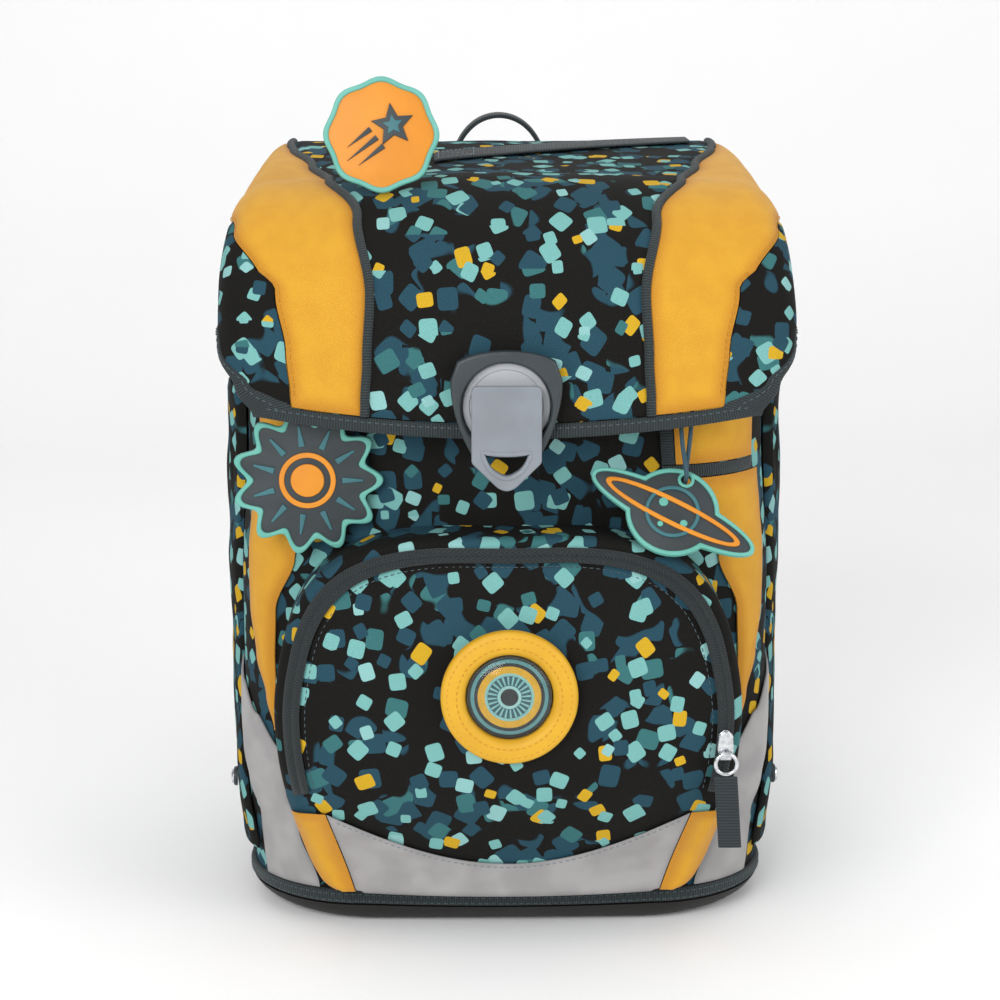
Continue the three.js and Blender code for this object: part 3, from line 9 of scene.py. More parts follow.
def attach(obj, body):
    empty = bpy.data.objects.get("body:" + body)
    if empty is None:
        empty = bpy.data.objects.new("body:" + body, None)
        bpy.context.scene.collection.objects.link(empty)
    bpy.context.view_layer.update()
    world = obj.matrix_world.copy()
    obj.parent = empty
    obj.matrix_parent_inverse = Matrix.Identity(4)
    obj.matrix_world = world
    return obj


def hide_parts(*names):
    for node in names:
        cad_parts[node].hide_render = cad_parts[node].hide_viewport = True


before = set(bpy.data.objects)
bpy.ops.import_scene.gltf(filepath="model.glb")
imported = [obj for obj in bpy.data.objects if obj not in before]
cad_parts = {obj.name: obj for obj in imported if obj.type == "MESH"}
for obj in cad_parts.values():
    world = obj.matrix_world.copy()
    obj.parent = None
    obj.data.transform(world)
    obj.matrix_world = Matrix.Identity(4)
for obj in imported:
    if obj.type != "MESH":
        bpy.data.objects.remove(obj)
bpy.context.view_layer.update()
random.seed(11)
BAG = "bag"
LEVER = "lever"
MM = 0.001

# Sizes in millimetres, the same as in the CAD source
BODY_HEIGHT = 365
BODY_FRONT_HALF_WIDTH = 138
BODY_BACK_HALF_WIDTH = 121
BODY_FRONT = 92
BODY_BACK = 96
FRONT_CORNER_RADIUS = 56
BACK_CORNER_RADIUS = 24
FRONT_BULGE = 9
SIDE_BULGE = 4
SHELL_WALL = 3
BASE_ROUNDING = 13
TOP_WIDTH_SHARE = 0.965
GAP = 0.35
SKIN = 1.2
SEAM_GAP = 0.6
SKIN_LIFT = 0.85
TRAY_WALL = 3
TRAY_GAP = 0.7
TRAY_HEIGHT = 11
TAPE_WIDTH = 7
TAPE_THICKNESS = 1.6
LID_STAND_OFF = 8
LID_THICKNESS = 2
LID_BEND_RADIUS = 74
LID_FRONT_CORNER_RADIUS = 20
LID_BACK_CORNER_RADIUS = 11
LID_TUCK = 1
LID_TUCK_HEIGHT = 60
LID_SIDE_CLEARANCE = 3.6
LID_FRONT_DROP = 37
LID_SLOPE = 12
LID_CROWN = 10
LID_EDGE_SAG = 9
LID_HUB_SETBACK = 98
LID_EAR_DROP = 100
BINDING_WIDTH = 7
BINDING_THICKNESS = 3.2
PIPING_DIAMETER = 4
POCKET_HALF_WIDTH = 111
POCKET_BOTTOM = 21
POCKET_TOP = 205
POCKET_DEPTH = 40
POCKET_FOOT_DEPTH = 9
POCKET_TOP_DEPTH = 25
POCKET_DOME = 9
POCKET_FOLLOW = 0.35
POCKET_WALL = 2
POCKET_EDGE_ROUND = 5
ZIP_WIDTH = 8
ZIP_THICKNESS = 1.6
ZIP_END = 0.65
ZIP_SETOUT = 0.004
POCKET_HALF_ROUND = 310
LENS_RADIUS = 20
LENS_DOME = 7
LENS_RING_RADIUS = 32
LENS_RING_HEIGHT = 6
LENS_UP = 134
LENS_ACROSS = 0
POCKET_SIDE_TURN = 0.5
BUCKLE_WIDTH = 51.5
BUCKLE_HEIGHT = 50
BUCKLE_THICKNESS = 7
BUCKLE_UP = 268
BUCKLE_ACROSS = -1
DISC_RADIUS = 20.4
DISC_THICKNESS = 3
DISC_DROP = 1.6
LEVER_WIDTH = 32.5
LEVER_LENGTH = 42
LEVER_THICKNESS = 4
LEVER_CORNER = 3.5
LEVER_HINGE_ABOVE = 2
SLOT_WIDTH = 20
SLOT_HEIGHT = 10
SLOT_ABOVE_TIP = 7
WEBBING_WIDTH = 25
WEBBING_THICKNESS = 1.6
TOP_STRAP_LEFT = -0.32
TOP_STRAP_RIGHT = 0.9
TOP_STRAP_LEFT_SETBACK = 86
TOP_STRAP_RIGHT_SETBACK = 20
HANDLE_SPAN = 52
HANDLE_RISE = 13.5
HANDLE_THICKNESS = 2.6
HANDLE_ACROSS = -1
HANDLE_FOOT = 14
BACK_PAD_THICKNESS = 16
BACK_PAD_HEIGHT = 288
BACK_PAD_HALF_WIDTH = 112
BACK_PAD_BOTTOM = 36
STRAP_WIDTH = 62
STRAP_THICKNESS = 12
STRAP_STAND_OFF = 58
STRAP_TOP = 300
STRAP_BOTTOM = 52
STRAP_TOP_SPREAD = 46
STRAP_BOTTOM_SPREAD = 84
STRAP_RISE = 30
STRAP_JOIN = 0.66
STRAP_CLOTH_LENGTH = 200
SIDE_POCKET_BOTTOM = 30
SIDE_POCKET_TOP = 262
SIDE_POCKET_FULLNESS = 8
SIDE_POCKET_WALL = 1.6
SIDE_POCKET_BACK = 2.32
STUD_RADIUS = 5
STUD_UP = 56
BADGE_THICKNESS = 3.4
LEFT_BADGE_ACROSS = -95
LEFT_BADGE_UP = 227
LEFT_BADGE_RADIUS = 36
BURST_RAYS = 11
PENDANT_ACROSS = 77
PENDANT_UP = 214
PENDANT_LENGTH = 85
PENDANT_HEIGHT = 44
PENDANT_RING_HEIGHT = 22
PENDANT_TILT = -0.5
PENDANT_LEAN = 0.6
PENDANT_FORWARD = 18
PENDANT_EYELET_RADIUS = 2.4
EYELET_ASIDE = 7
EYELET_ABOVE = 16
CORD_DIAMETER = 2.2
TOP_BADGE_RADIUS = 27.5
TOP_BADGE_ACROSS = -0.52
TOP_BADGE_ALONG = 0.585
TOP_BADGE_LEAN = 0.2
SLIDER_UP = 107
SLIDER_LIFT = 0.5
SLIDER_WIDTH = 7.5
SLIDER_DEPTH = 4
SLIDER_LENGTH = 14
RING_RADIUS = 5
RING_WIRE = 1
TAB_WIDTH = 11
TAB_THICKNESS = 2.2
TAB_LENGTH = 36
TAB_DRIFT = 3
BAND_UP = 229
BAND_HEIGHT = 6
BAND_END = 127
YELLOW_TIP_UP = 97
FRONT_TRIM_TOP = 286
FRONT_TRIM_WIDTH = 6
FRONT_TRIM_TOP_ACROSS = 73
FRONT_TRIM_BOTTOM_ACROSS = 77
GREY_HEIGHT = 104
CENTRE_TOP_MIDDLE = 42
CENTRE_TOP_SIDE = 70
CENTRE_HALF_TOP = 87
CENTRE_HALF_FOOT = 75
STRIP_WIDTH = 13
STRIP_SWELL = 2.5

LID_FRONT = BODY_FRONT + FRONT_BULGE / 2 + LID_STAND_OFF
LID_TOP = BODY_HEIGHT + LID_STAND_OFF
LID_FRONT_HALF_WIDTH = BODY_FRONT_HALF_WIDTH * TOP_WIDTH_SHARE + LID_SIDE_CLEARANCE
LID_BACK_HALF_WIDTH = BODY_BACK_HALF_WIDTH * TOP_WIDTH_SHARE + LID_SIDE_CLEARANCE
LID_BEND_Y = -LID_FRONT + LID_BEND_RADIUS
LID_TOP_RUN = BODY_BACK - LID_BEND_Y
LID_BEND_RUN = LID_BEND_RADIUS * math.pi / 2
LID_LENGTH = LID_TOP_RUN + LID_BEND_RUN + LID_FRONT_DROP
LID_BEND_Z = LID_TOP - LID_SLOPE - LID_BEND_RADIUS
LID_ROW_POWER = 0.85
LID_PANEL_END = 1 - (BINDING_WIDTH + SEAM_GAP) / LID_LENGTH
POCKET_HEIGHT = POCKET_TOP - POCKET_BOTTOM
POCKET_CENTRE = POCKET_BOTTOM + POCKET_HEIGHT * 0.48
PANEL_FOOT = TRAY_HEIGHT + GAP + TAPE_WIDTH + SEAM_GAP
BACK_PLANE = BODY_BACK


# Small number helpers
def mix(low, high, share):
    return low + (high - low) * share


def smooth(value, low, high):
    share = min(1.0, max(0.0, (value - low) / (high - low)))
    return share * share * (3 - 2 * share)


def columns_of(names, *rows):
    keys = names.split()
    return [dict(zip(keys, row)) for row in rows]


def reading(table, share, column):
    """Eased reading of a table at a share of its first column"""
    key = next(iter(table[0]))
    index = 0
    while index < len(table) - 2 and share > table[index + 1][key]:
        index += 1
    low, high = table[index], table[index + 1]
    return mix(low[column], high[column], smooth(share, low[key], high[key]))


def falling_to(level, value_at, low, high, rounds):
    """The place between low and high where a falling value comes down to a level"""
    for _ in range(rounds):
        middle = (low + high) / 2
        if value_at(middle) > level:
            low = middle
        else:
            high = middle
    return low


# Tables of sections, seams and edges, the same as in the CAD source
BODY_SECTIONS = columns_of(
    "up width front",
    (0.00, 0.950, 0.99),
    (0.08, 0.985, 1.01),
    (0.22, 1.000, 1.00),
    (0.45, 1.000, 0.98),
    (0.66, TOP_WIDTH_SHARE, 0.97),
    (1.00, TOP_WIDTH_SHARE * 0.98, 0.97),
)
LID_SEAMS = columns_of(
    "along piping seam edge",
    (0.00, 1.150, 2.300, 2.93),
    (0.18, 0.985, 2.240, 2.92),
    (0.36, 0.875, 2.100, 2.90),
    (0.50, 0.765, 1.960, 2.84),
    (0.64, 0.612, 1.520, 2.66),
    (0.78, 0.547, 0.930, 2.35),
    (0.88, 0.560, 0.885, 1.90),
    (0.95, 0.570, 0.870, 1.36),
    (1.00, 0.575, 0.860, 1.08),
)
POCKET_OUTLINE = columns_of(
    "across up",
    (0.00, 1.000), (0.34, 0.998), (0.56, 0.975), (0.73, 0.930), (0.85, 0.865),
    (0.93, 0.780), (0.975, 0.680), (1.00, 0.570), (0.995, 0.460), (0.965, 0.330),
    (0.92, 0.200), (0.855, 0.070), (0.79, 0.018), (0.40, 0.003), (0.00, 0.000),
)
YELLOW_EDGES = columns_of(
    "up outer inner",
    (0.00, 1.060, 1.035),
    (0.13, 1.110, 1.045),
    (0.28, 1.180, 1.050),
    (0.47, 1.230, 1.040),
    (0.70, 1.240, 0.930),
    (0.85, 1.220, 0.800),
    (1.00, 1.200, 0.770),
)
GREY_TOPS = columns_of("across up", (0.00, 0.66), (0.35, 0.80), (0.70, 0.92), (1.00, 1.00))
GREY_EDGES = columns_of(
    "up inner outer",
    (0.00, 0.840, 1.150),
    (0.30, 0.940, 1.180),
    (0.45, 1.000, 1.300),
    (0.60, 1.025, 1.400),
    (0.80, 1.035, 1.500),
    (1.00, 1.035, 1.520),
)
SIDE_POCKET_EDGES = columns_of(
    "up front full",
    (0.00, 1.210, 0.25),
    (0.14, 1.350, 0.60),
    (0.26, 1.530, 0.85),
    (0.40, 1.590, 0.90),
    (0.62, 1.560, 1.05),
    (0.84, 1.430, 1.55),
    (1.00, 1.400, 1.60),
)
CORD_ROUTE = columns_of(
    "aside forward above seated",
    (-3.0, 11.0, 46.0, 1),
    (-2.4, 7.6, 31.0, 0),
    (-1.6, 2.2, 18.0, 0),
    (-0.6, -3.0, 9.0, 0),
    (0.0, -4.3, 3.8, 0),
    (0.0, -1.4, 1.7, 0),
    (0.0, 2.0, -0.4, 0),
    (0.6, 5.2, 3.8, 0),
    (2.2, 6.6, 18.0, 0),
    (3.4, 9.0, 32.0, 0),
    (4.0, 12.0, 46.0, 1),
)


# The body's surface
def body_section(z):
    share = min(1.0, max(0.0, z / BODY_HEIGHT))
    low = max(0.0, 1 - z / BASE_ROUNDING)
    inset = BASE_ROUNDING * (1 - math.sqrt(max(0.0, 1 - low * low)))
    width = reading(BODY_SECTIONS, share, "width")
    front_half = BODY_FRONT_HALF_WIDTH * width - inset
    back_half = BODY_BACK_HALF_WIDTH * width - inset
    front = BODY_FRONT * reading(BODY_SECTIONS, share, "front") - inset
    back = BODY_BACK - inset * 0.5
    return front_half, back_half, front, back


def section_stretches(section):
    """Half a section as (length, turn, radius): front, corner, side, corner, back"""
    front_half, back_half, front, back = section
    depth = front + back
    lean = math.atan2(front_half - back_half, depth)
    front_turn = math.pi / 2 + lean
    back_turn = math.pi / 2 - lean
    front_cut = FRONT_CORNER_RADIUS * math.tan(front_turn / 2)
    back_cut = BACK_CORNER_RADIUS * math.tan(back_turn / 2)
    side = math.hypot(depth, front_half - back_half)
    return (
        (front_half - front_cut, 0.0, 0.0),
        (FRONT_CORNER_RADIUS * front_turn, front_turn, FRONT_CORNER_RADIUS),
        (side - front_cut - back_cut, 0.0, 0.0),
        (BACK_CORNER_RADIUS * back_turn, back_turn, BACK_CORNER_RADIUS),
        (back_half - back_cut, 0.0, 0.0),
    )


def round_at(z, stretch_index, share):
    stretches = section_stretches(body_section(z))
    start = sum(stretch[0] for stretch in stretches[:stretch_index])
    return start + stretches[stretch_index][0] * share


def body_point(around, z, lift):
    """A point of the body: around is the length from the front centre, + to the right"""
    section = body_section(z)
    sign = -1 if around < 0 else 1
    rest = abs(around)
    x, y = 0.0, -section[2]
    heading = 0.0
    bulge = 0.0
    stretches = section_stretches(section)
    for index, (length, turn, radius) in enumerate(stretches):
        run = rest if index == len(stretches) - 1 else min(rest, length)
        share = run / length if length > 0 else 1.0
        if turn:
            turned = turn * share
            x += radius * (math.sin(heading + turned) - math.sin(heading))
            y += radius * (math.cos(heading) - math.cos(heading + turned))
            heading += turned
        else:
            x += math.cos(heading) * run
            y += math.sin(heading) * run
        rest -= run
        if rest <= 0:
            if index == 0:
                bulge = FRONT_BULGE * (1 - share * share)
            if index == 2:
                flank = 1 - smooth(z / BODY_HEIGHT, 0.45, 0.7)
                bulge = SIDE_BULGE * 4 * share * (1 - share) * flank
            break
    out = lift + bulge * min(1.0, z / (BASE_ROUNDING * 2))
    return Vector((sign * (x + math.sin(heading) * out), y - math.cos(heading) * out, z))


# The lid's surface
def lid_profile(along):
    if along <= LID_TOP_RUN:
        return BODY_BACK - along, LID_TOP - LID_SLOPE * (along / LID_TOP_RUN) ** 2, 0.0
    turn = min((along - LID_TOP_RUN) / LID_BEND_RADIUS, math.pi / 2)
    drop = max(0.0, along - LID_TOP_RUN - LID_BEND_RUN)
    y = LID_BEND_Y - LID_BEND_RADIUS * math.sin(turn)
    return y, LID_BEND_Z + LID_BEND_RADIUS * math.cos(turn) - drop, turn


def lid_half_width(y):
    share = min(1.0, max(0.0, (y + LID_FRONT) / (LID_FRONT + BODY_BACK)))
    return mix(LID_FRONT_HALF_WIDTH, LID_BACK_HALF_WIDTH, share)


def lid_corner_radius(y):
    return mix(LID_BACK_CORNER_RADIUS, LID_FRONT_CORNER_RADIUS, 1 - smooth(y, LID_BEND_Y, BODY_BACK))


def lid_tuck(z):
    foot = LID_BEND_Z - LID_FRONT_DROP
    return LID_TUCK * (1 - smooth(z, foot, foot + LID_TUCK_HEIGHT))


def lid_point(across, share, lift):
    """across: 0 to 1 over the top, 1 to 2 round the corner, 2 to 3 down the ear"""
    sign = -1 if across < 0 else 1
    a = abs(across)
    sag = LID_EDGE_SAG * min(1.0, a) ** 2
    profile_y, profile_z, turn = lid_profile(share * (LID_LENGTH - sag))
    flat = min(a, 1.0)
    turned = min(1.0, max(0.0, a - 1)) * math.pi / 2
    radius = lid_corner_radius(profile_y)
    crown = LID_CROWN * (1 - flat * flat) * smooth(share, 0.25, 0.75)
    rise = crown - radius * (1 - math.cos(turned)) + lift * math.cos(turned)
    y = profile_y - math.sin(turn) * rise
    z = profile_z + math.cos(turn) * rise
    if a > 2:
        hub_y = max(y, -LID_FRONT + LID_HUB_SETBACK)
        y = mix(y, hub_y, a - 2)
        z = mix(z, LID_TOP - LID_EAR_DROP, a - 2)
    inner = lid_half_width(y) - radius
    x = inner * flat + (radius + lift - lid_tuck(z)) * math.sin(turned)
    return Vector((sign * x, y, z))


def across_shift(across, millimetres):
    a = abs(across)
    if a <= 1:
        return millimetres / (LID_FRONT_HALF_WIDTH - LID_FRONT_CORNER_RADIUS)
    if a <= 2:
        return millimetres / (LID_FRONT_CORNER_RADIUS * math.pi / 2)
    return millimetres / (LID_EAR_DROP - LID_FRONT_CORNER_RADIUS)


def lid_seam(column, share, side, shift):
    across = reading(LID_SEAMS, share, column)
    return side * (across + across_shift(across, shift))


def lid_uv(across, share):
    """Cloth place of a lid point, in millimetres across and along"""
    a = abs(across)
    flat = min(a, 1.0) * (LID_FRONT_HALF_WIDTH - LID_FRONT_CORNER_RADIUS)
    corner = min(1.0, max(0.0, a - 1)) * LID_FRONT_CORNER_RADIUS * math.pi / 2
    ear = max(0.0, a - 2) * (LID_EAR_DROP - LID_FRONT_CORNER_RADIUS)
    return math.copysign(flat + corner + ear, across), -share * LID_LENGTH


# The front pocket's surface
def catmull_rom(points, share):
    """A centripetal Catmull-Rom curve through the points, as the CAD source draws it"""
    count = len(points)
    place = (count - 1) * share
    index = min(int(place), count - 2)
    weight = place - index
    p1, p2 = points[index], points[index + 1]
    p0 = points[index - 1] if index > 0 else p1 * 2 - p2
    p3 = points[index + 2] if index < count - 2 else p2 * 2 - p1
    dt0 = max((p0 - p1).length_squared ** 0.25, 1e-4)
    dt1 = max((p1 - p2).length_squared ** 0.25, 1e-4)
    dt2 = max((p2 - p3).length_squared ** 0.25, 1e-4)
    t1 = ((p1 - p0) / dt0 - (p2 - p0) / (dt0 + dt1) + (p2 - p1) / dt1) * dt1
    t2 = ((p2 - p1) / dt1 - (p3 - p1) / (dt1 + dt2) + (p3 - p2) / dt2) * dt1
    c2 = -3 * p1 + 3 * p2 - 2 * t1 - t2
    c3 = 2 * p1 - 2 * p2 + t1 + t2
    return p1 + t1 * weight + c2 * weight ** 2 + c3 * weight ** 3


POCKET_POINTS = [
    Vector((row["across"] * POCKET_HALF_WIDTH, 0, POCKET_BOTTOM + row["up"] * POCKET_HEIGHT))
    for row in POCKET_OUTLINE
]


def pocket_outline(turn, grow):
    point = catmull_rom(POCKET_POINTS, min(1.0, abs(turn)))
    z = POCKET_CENTRE + (point.z - POCKET_CENTRE) * grow
    return math.copysign(1, turn) * point.x * grow, z


def front_surface(x, z):
    return body_point(x, z, 0)


def pocket_depth(z):
    low = smooth(z, POCKET_BOTTOM, POCKET_BOTTOM + POCKET_HEIGHT * 0.42)
    high = smooth(z, POCKET_BOTTOM + POCKET_HEIGHT * 0.5, POCKET_TOP)
    return mix(mix(POCKET_FOOT_DEPTH, POCKET_DEPTH, low), POCKET_TOP_DEPTH, high)


def pocket_front(x, z, lift):
    side = min(1.0, (x / POCKET_HALF_WIDTH) ** 2)
    follow = (front_surface(x, z).y + BODY_FRONT) * POCKET_FOLLOW
    out = pocket_depth(z) + POCKET_DOME * (1 - side) + lift
    return Vector((x, -BODY_FRONT - out + follow, z))


def pocket_face(turn, grow, lift):
    x, z = pocket_outline(turn, grow)
    return pocket_front(x, z, lift)


# Making pieces
SHARP_ANGLE = math.radians(38)


def add_object(name, data):
    piece = bpy.data.objects.new(name, data)
    bpy.context.scene.collection.objects.link(piece)
    return piece


def shade_smooth(mesh):
    for polygon in mesh.polygons:
        polygon.use_smooth = True


def to_object(name, mesh, material, nodes, body=BAG):
    """A piece from a mesh, riding on a body and standing for its CAD nodes"""
    mesh.materials.append(material)
    shade_smooth(mesh)
    work = bmesh.new()
    work.from_mesh(mesh)
    bmesh.ops.recalc_face_normals(work, faces=work.faces)
    for edge in work.edges:
        if len(edge.link_faces) == 2:
            edge.smooth = edge.calc_face_angle(0) < SHARP_ANGLE
    work.to_mesh(mesh)
    work.free()
    piece = add_object(name, mesh)
    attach(piece, body)
    if nodes:
        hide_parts(*nodes)
    return piece


def mesh_from(name, points, faces, uvs, edges=None):
    """A mesh in metres from points in millimetres, with cloth places in centimetres"""
    mesh = bpy.data.meshes.new(name)
    mesh.from_pydata([tuple(point * MM) for point in points], [], faces)
    layer = mesh.uv_layers.new(name="cloth")
    for loop in mesh.loops:
        u, v = uvs[loop.vertex_index]
        layer.data[loop.index].uv = (u / 10, v / 10)
    if edges:
        attribute = mesh.attributes.new("edge_mm", "FLOAT", "POINT")
        attribute.data.foreach_set("value", edges)
    return mesh


def spread(points):
    """Lengths along a row of points"""
    lengths = [0.0]
    for before, after in zip(points, points[1:]):
        lengths.append(lengths[-1] + (after - before).length)
    return lengths


def sheet_mesh(name, rows, columns, point_at, uv_at, seam=0.45, hem=5.0, wave=0.0, wave_size=45.0):
    """A closed sheet whose outer face sinks towards its sewn edges"""
    outer = [[point_at(r / rows, c / columns, 1) for c in range(columns + 1)] for r in range(rows + 1)]
    inner = [[point_at(r / rows, c / columns, 0) for c in range(columns + 1)] for r in range(rows + 1)]
    across = [spread(line) for line in outer]
    along = [spread([outer[r][c] for r in range(rows + 1)]) for c in range(columns + 1)]
    points, uvs, edges = [], [], []
    for layer in (1, 0):
        for r in range(rows + 1):
            for c in range(columns + 1):
                near = min(
                    across[r][c], across[r][-1] - across[r][c],
                    along[c][r], along[c][-1] - along[c][r],
                )
                thick = outer[r][c] - inner[r][c]
                point = inner[r][c].copy()
                if layer:
                    point = outer[r][c] - thick * seam * (1 - smooth(near, 0, hem)) ** 2
                    if wave:
                        away = thick.normalized()
                        bump = noise.noise(outer[r][c] / wave_size)
                        bump += 0.4 * noise.noise(outer[r][c] / (wave_size * 0.4))
                        point += away * bump * wave * smooth(near, 0, hem * 2)
                points.append(point)
                uvs.append(uv_at(r / rows, c / columns))
                edges.append(near)
    stride = columns + 1
    back = (rows + 1) * stride
    faces = []
    for r in range(rows):
        for c in range(columns):
            a = r * stride + c
            faces.append((a, a + 1, a + 1 + stride, a + stride))
            faces.append((back + a, back + a + stride, back + a + stride + 1, back + a + 1))
        left = r * stride
        right = left + columns
        faces.append((back + left, left, left + stride, back + left + stride))
        faces.append((right, back + right, back + right + stride, right + stride))
    for c in range(columns):
        top = rows * stride + c
        faces.append((c, back + c, back + c + 1, c + 1))
        faces.append((top, top + 1, back + top + 1, back + top))
    return mesh_from(name, points, faces, uvs, edges)


def tube_mesh(name, centres, ups, radius, sides=10, closed=False, flatten=1.0):
    """A round bar along a row of centres, with an up direction for each"""
    points, uvs, faces = [], [], []
    lengths = spread(centres)
    count = len(centres)
    for index, centre in enumerate(centres):
        if closed:
            along = centres[(index + 1) % count] - centres[index - 1]
        else:
            along = centres[min(index + 1, count - 1)] - centres[max(index - 1, 0)]
        along.normalize()
        aside = along.cross(ups[index]).normalized()
        up = aside.cross(along).normalized()
        for turn in range(sides):
            angle = turn / sides * math.tau
            offset = aside * math.cos(angle) + up * math.sin(angle) * flatten
            points.append(centre + offset * radius)
            uvs.append((turn / sides * math.tau * radius, lengths[index]))
    last = count if closed else count - 1
    for index in range(last):
        low, high = index * sides, ((index + 1) % count) * sides
        for turn in range(sides):
            after = (turn + 1) % sides
            faces.append((low + turn, low + after, high + after, high + turn))
    if not closed:
        faces.append(tuple(range(sides - 1, -1, -1)))
        faces.append(tuple(range((count - 1) * sides, count * sides)))
    return mesh_from(name, points, faces, uvs)


def merge_doubles(work):
    bmesh.ops.remove_doubles(work, verts=work.verts, dist=1e-6)


def plate_mesh(name, outlines, thickness, bevel, resolution=3):
    """A flat plate in the XY plane from closed outlines, holes among them, with round edges"""
    curve = bpy.data.curves.new(name, "CURVE")
    curve.dimensions = "2D"
    curve.fill_mode = "BOTH"
    curve.extrude = max(0.0, thickness / 2 - bevel) * MM
    curve.bevel_depth = bevel * MM
    curve.bevel_resolution = resolution
    curve.offset = -bevel * MM
    for outline in outlines:
        spline = curve.splines.new("POLY")
        spline.points.add(len(outline) - 1)
        for point, (x, y) in zip(spline.points, outline):
            point.co = (x * MM, y * MM, 0, 1)
        spline.use_cyclic_u = True
    carrier = add_object(name, curve)
    graph = bpy.context.evaluated_depsgraph_get()
    mesh = bpy.data.meshes.new_from_object(carrier.evaluated_get(graph))
    bpy.data.objects.remove(carrier)
    bpy.data.curves.remove(curve)
    work = bmesh.new()
    work.from_mesh(mesh)
    merge_doubles(work)
    layer = work.loops.layers.uv.new("cloth")
    for face in work.faces:
        for loop in face.loops:
            loop[layer].uv = (loop.vert.co.x * 100, loop.vert.co.y * 100)
    work.to_mesh(mesh)
    work.free()
    return mesh


def lathe_mesh(name, profile, segments):
    """A form turned about Z from (radius, height) pairs that start and end on one line"""
    points, uvs, faces = [], [], []
    count = len(profile)
    for step in range(segments):
        angle = step / segments * math.tau
        for radius, height in profile:
            points.append(Vector((radius * math.cos(angle), radius * math.sin(angle), height)))
            uvs.append((radius * math.cos(angle), radius * math.sin(angle)))
    for step in range(segments):
        low, high = step * count, ((step + 1) % segments) * count
        for index in range(count - 1):
            faces.append((low + index, high + index, high + index + 1, low + index + 1))
    mesh = mesh_from(name, points, faces, uvs)
    work = bmesh.new()
    work.from_mesh(mesh)
    merge_doubles(work)
    work.to_mesh(mesh)
    work.free()
    return mesh


def place_mesh(mesh, x, y, z, lean=0.0):
    """Stands a mesh made in the XY plane up to face the front, then puts it in its place"""
    turn = Matrix.Rotation(math.pi / 2 - lean, 4, "X")
    move = Matrix.Translation(Vector((x, y, z)) * MM)
    mesh.transform(move @ turn)
    return mesh


def joined(name, parts):
    """One mesh from several (points, faces) lists in millimetres"""
    points, faces, uvs = [], [], []
    for part_points, part_faces in parts:
        start = len(points)
        points.extend(part_points)
        uvs.extend((point.x, point.z) for point in part_points)
        faces.extend(tuple(start + index for index in face) for face in part_faces)
    return mesh_from(name, points, faces, uvs)


def stitch_part(centre, along, up, length, width):
    """One stitch: a short thread lying on the cloth, its ends going down into it"""
    aside = along.cross(up).normalized()
    sides = 6
    stations = ((-0.5, -0.9, 0.35), (-0.3, 0.0, 0.9), (0.0, 0.25, 1.0), (0.3, 0.0, 0.9), (0.5, -0.9, 0.35))
    points, faces = [], []
    for run, high, thick in stations:
        middle = centre + along * run * length + up * high * width * 0.5
        for turn in range(sides):
            angle = turn / sides * math.tau
            offset = aside * math.cos(angle) + up * math.sin(angle)
            points.append(middle + offset * width * 0.5 * thick)
    for ring in range(len(stations) - 1):
        for turn in range(sides):
            after = (turn + 1) % sides
            low, high = ring * sides, (ring + 1) * sides
            faces.append((low + turn, low + after, high + after, high + turn))
    faces.append(tuple(range(sides - 1, -1, -1)))
    faces.append(tuple(range((len(stations) - 1) * sides, len(stations) * sides)))
    return points, faces


# Spacing, length and width of a stitch in millimetres
TAPE_STITCH = (3.4, 2.3, 0.6)
LID_STITCH = (3.4, 2.2, 0.5)
ZIP_STITCH = (3.2, 2.1, 0.45)
GREY_STITCH = (3.2, 2.2, 0.45)
RING_STITCH = (3.0, 2.1, 0.6)
STRAP_STITCH = (2.6, 1.9, 0.5)
STITCH_INSET = 2.0
FORWARD = Vector((0, -1, 0))


def stitch_row(place_at, samples, spacing, length, width):
    """Stitches along a row: place_at(share) gives a point on the cloth and the way out of it"""
    places = [place_at(step / samples) for step in range(samples + 1)]
    lengths = spread([place[0] for place in places])
    count = max(1, int(lengths[-1] / spacing))
    parts = []
    index = 0
    for number in range(count):
        target = (number + 0.5) * lengths[-1] / count
        while index < samples - 1 and lengths[index + 1] < target:
            index += 1
        part = (target - lengths[index]) / max(1e-6, lengths[index + 1] - lengths[index])
        centre = places[index][0].lerp(places[index + 1][0], part)
        along = (places[index + 1][0] - places[index][0]).normalized()
        up = places[index][1].lerp(places[index + 1][1], part)
        up = (up - along * up.dot(along)).normalized()
        parts.append(stitch_part(centre, along, up, length, width))
    return parts


def stitches(name, rows, material):
    parts = [part for row in rows for part in row]
    return to_object(name, joined(name, parts), material, ())


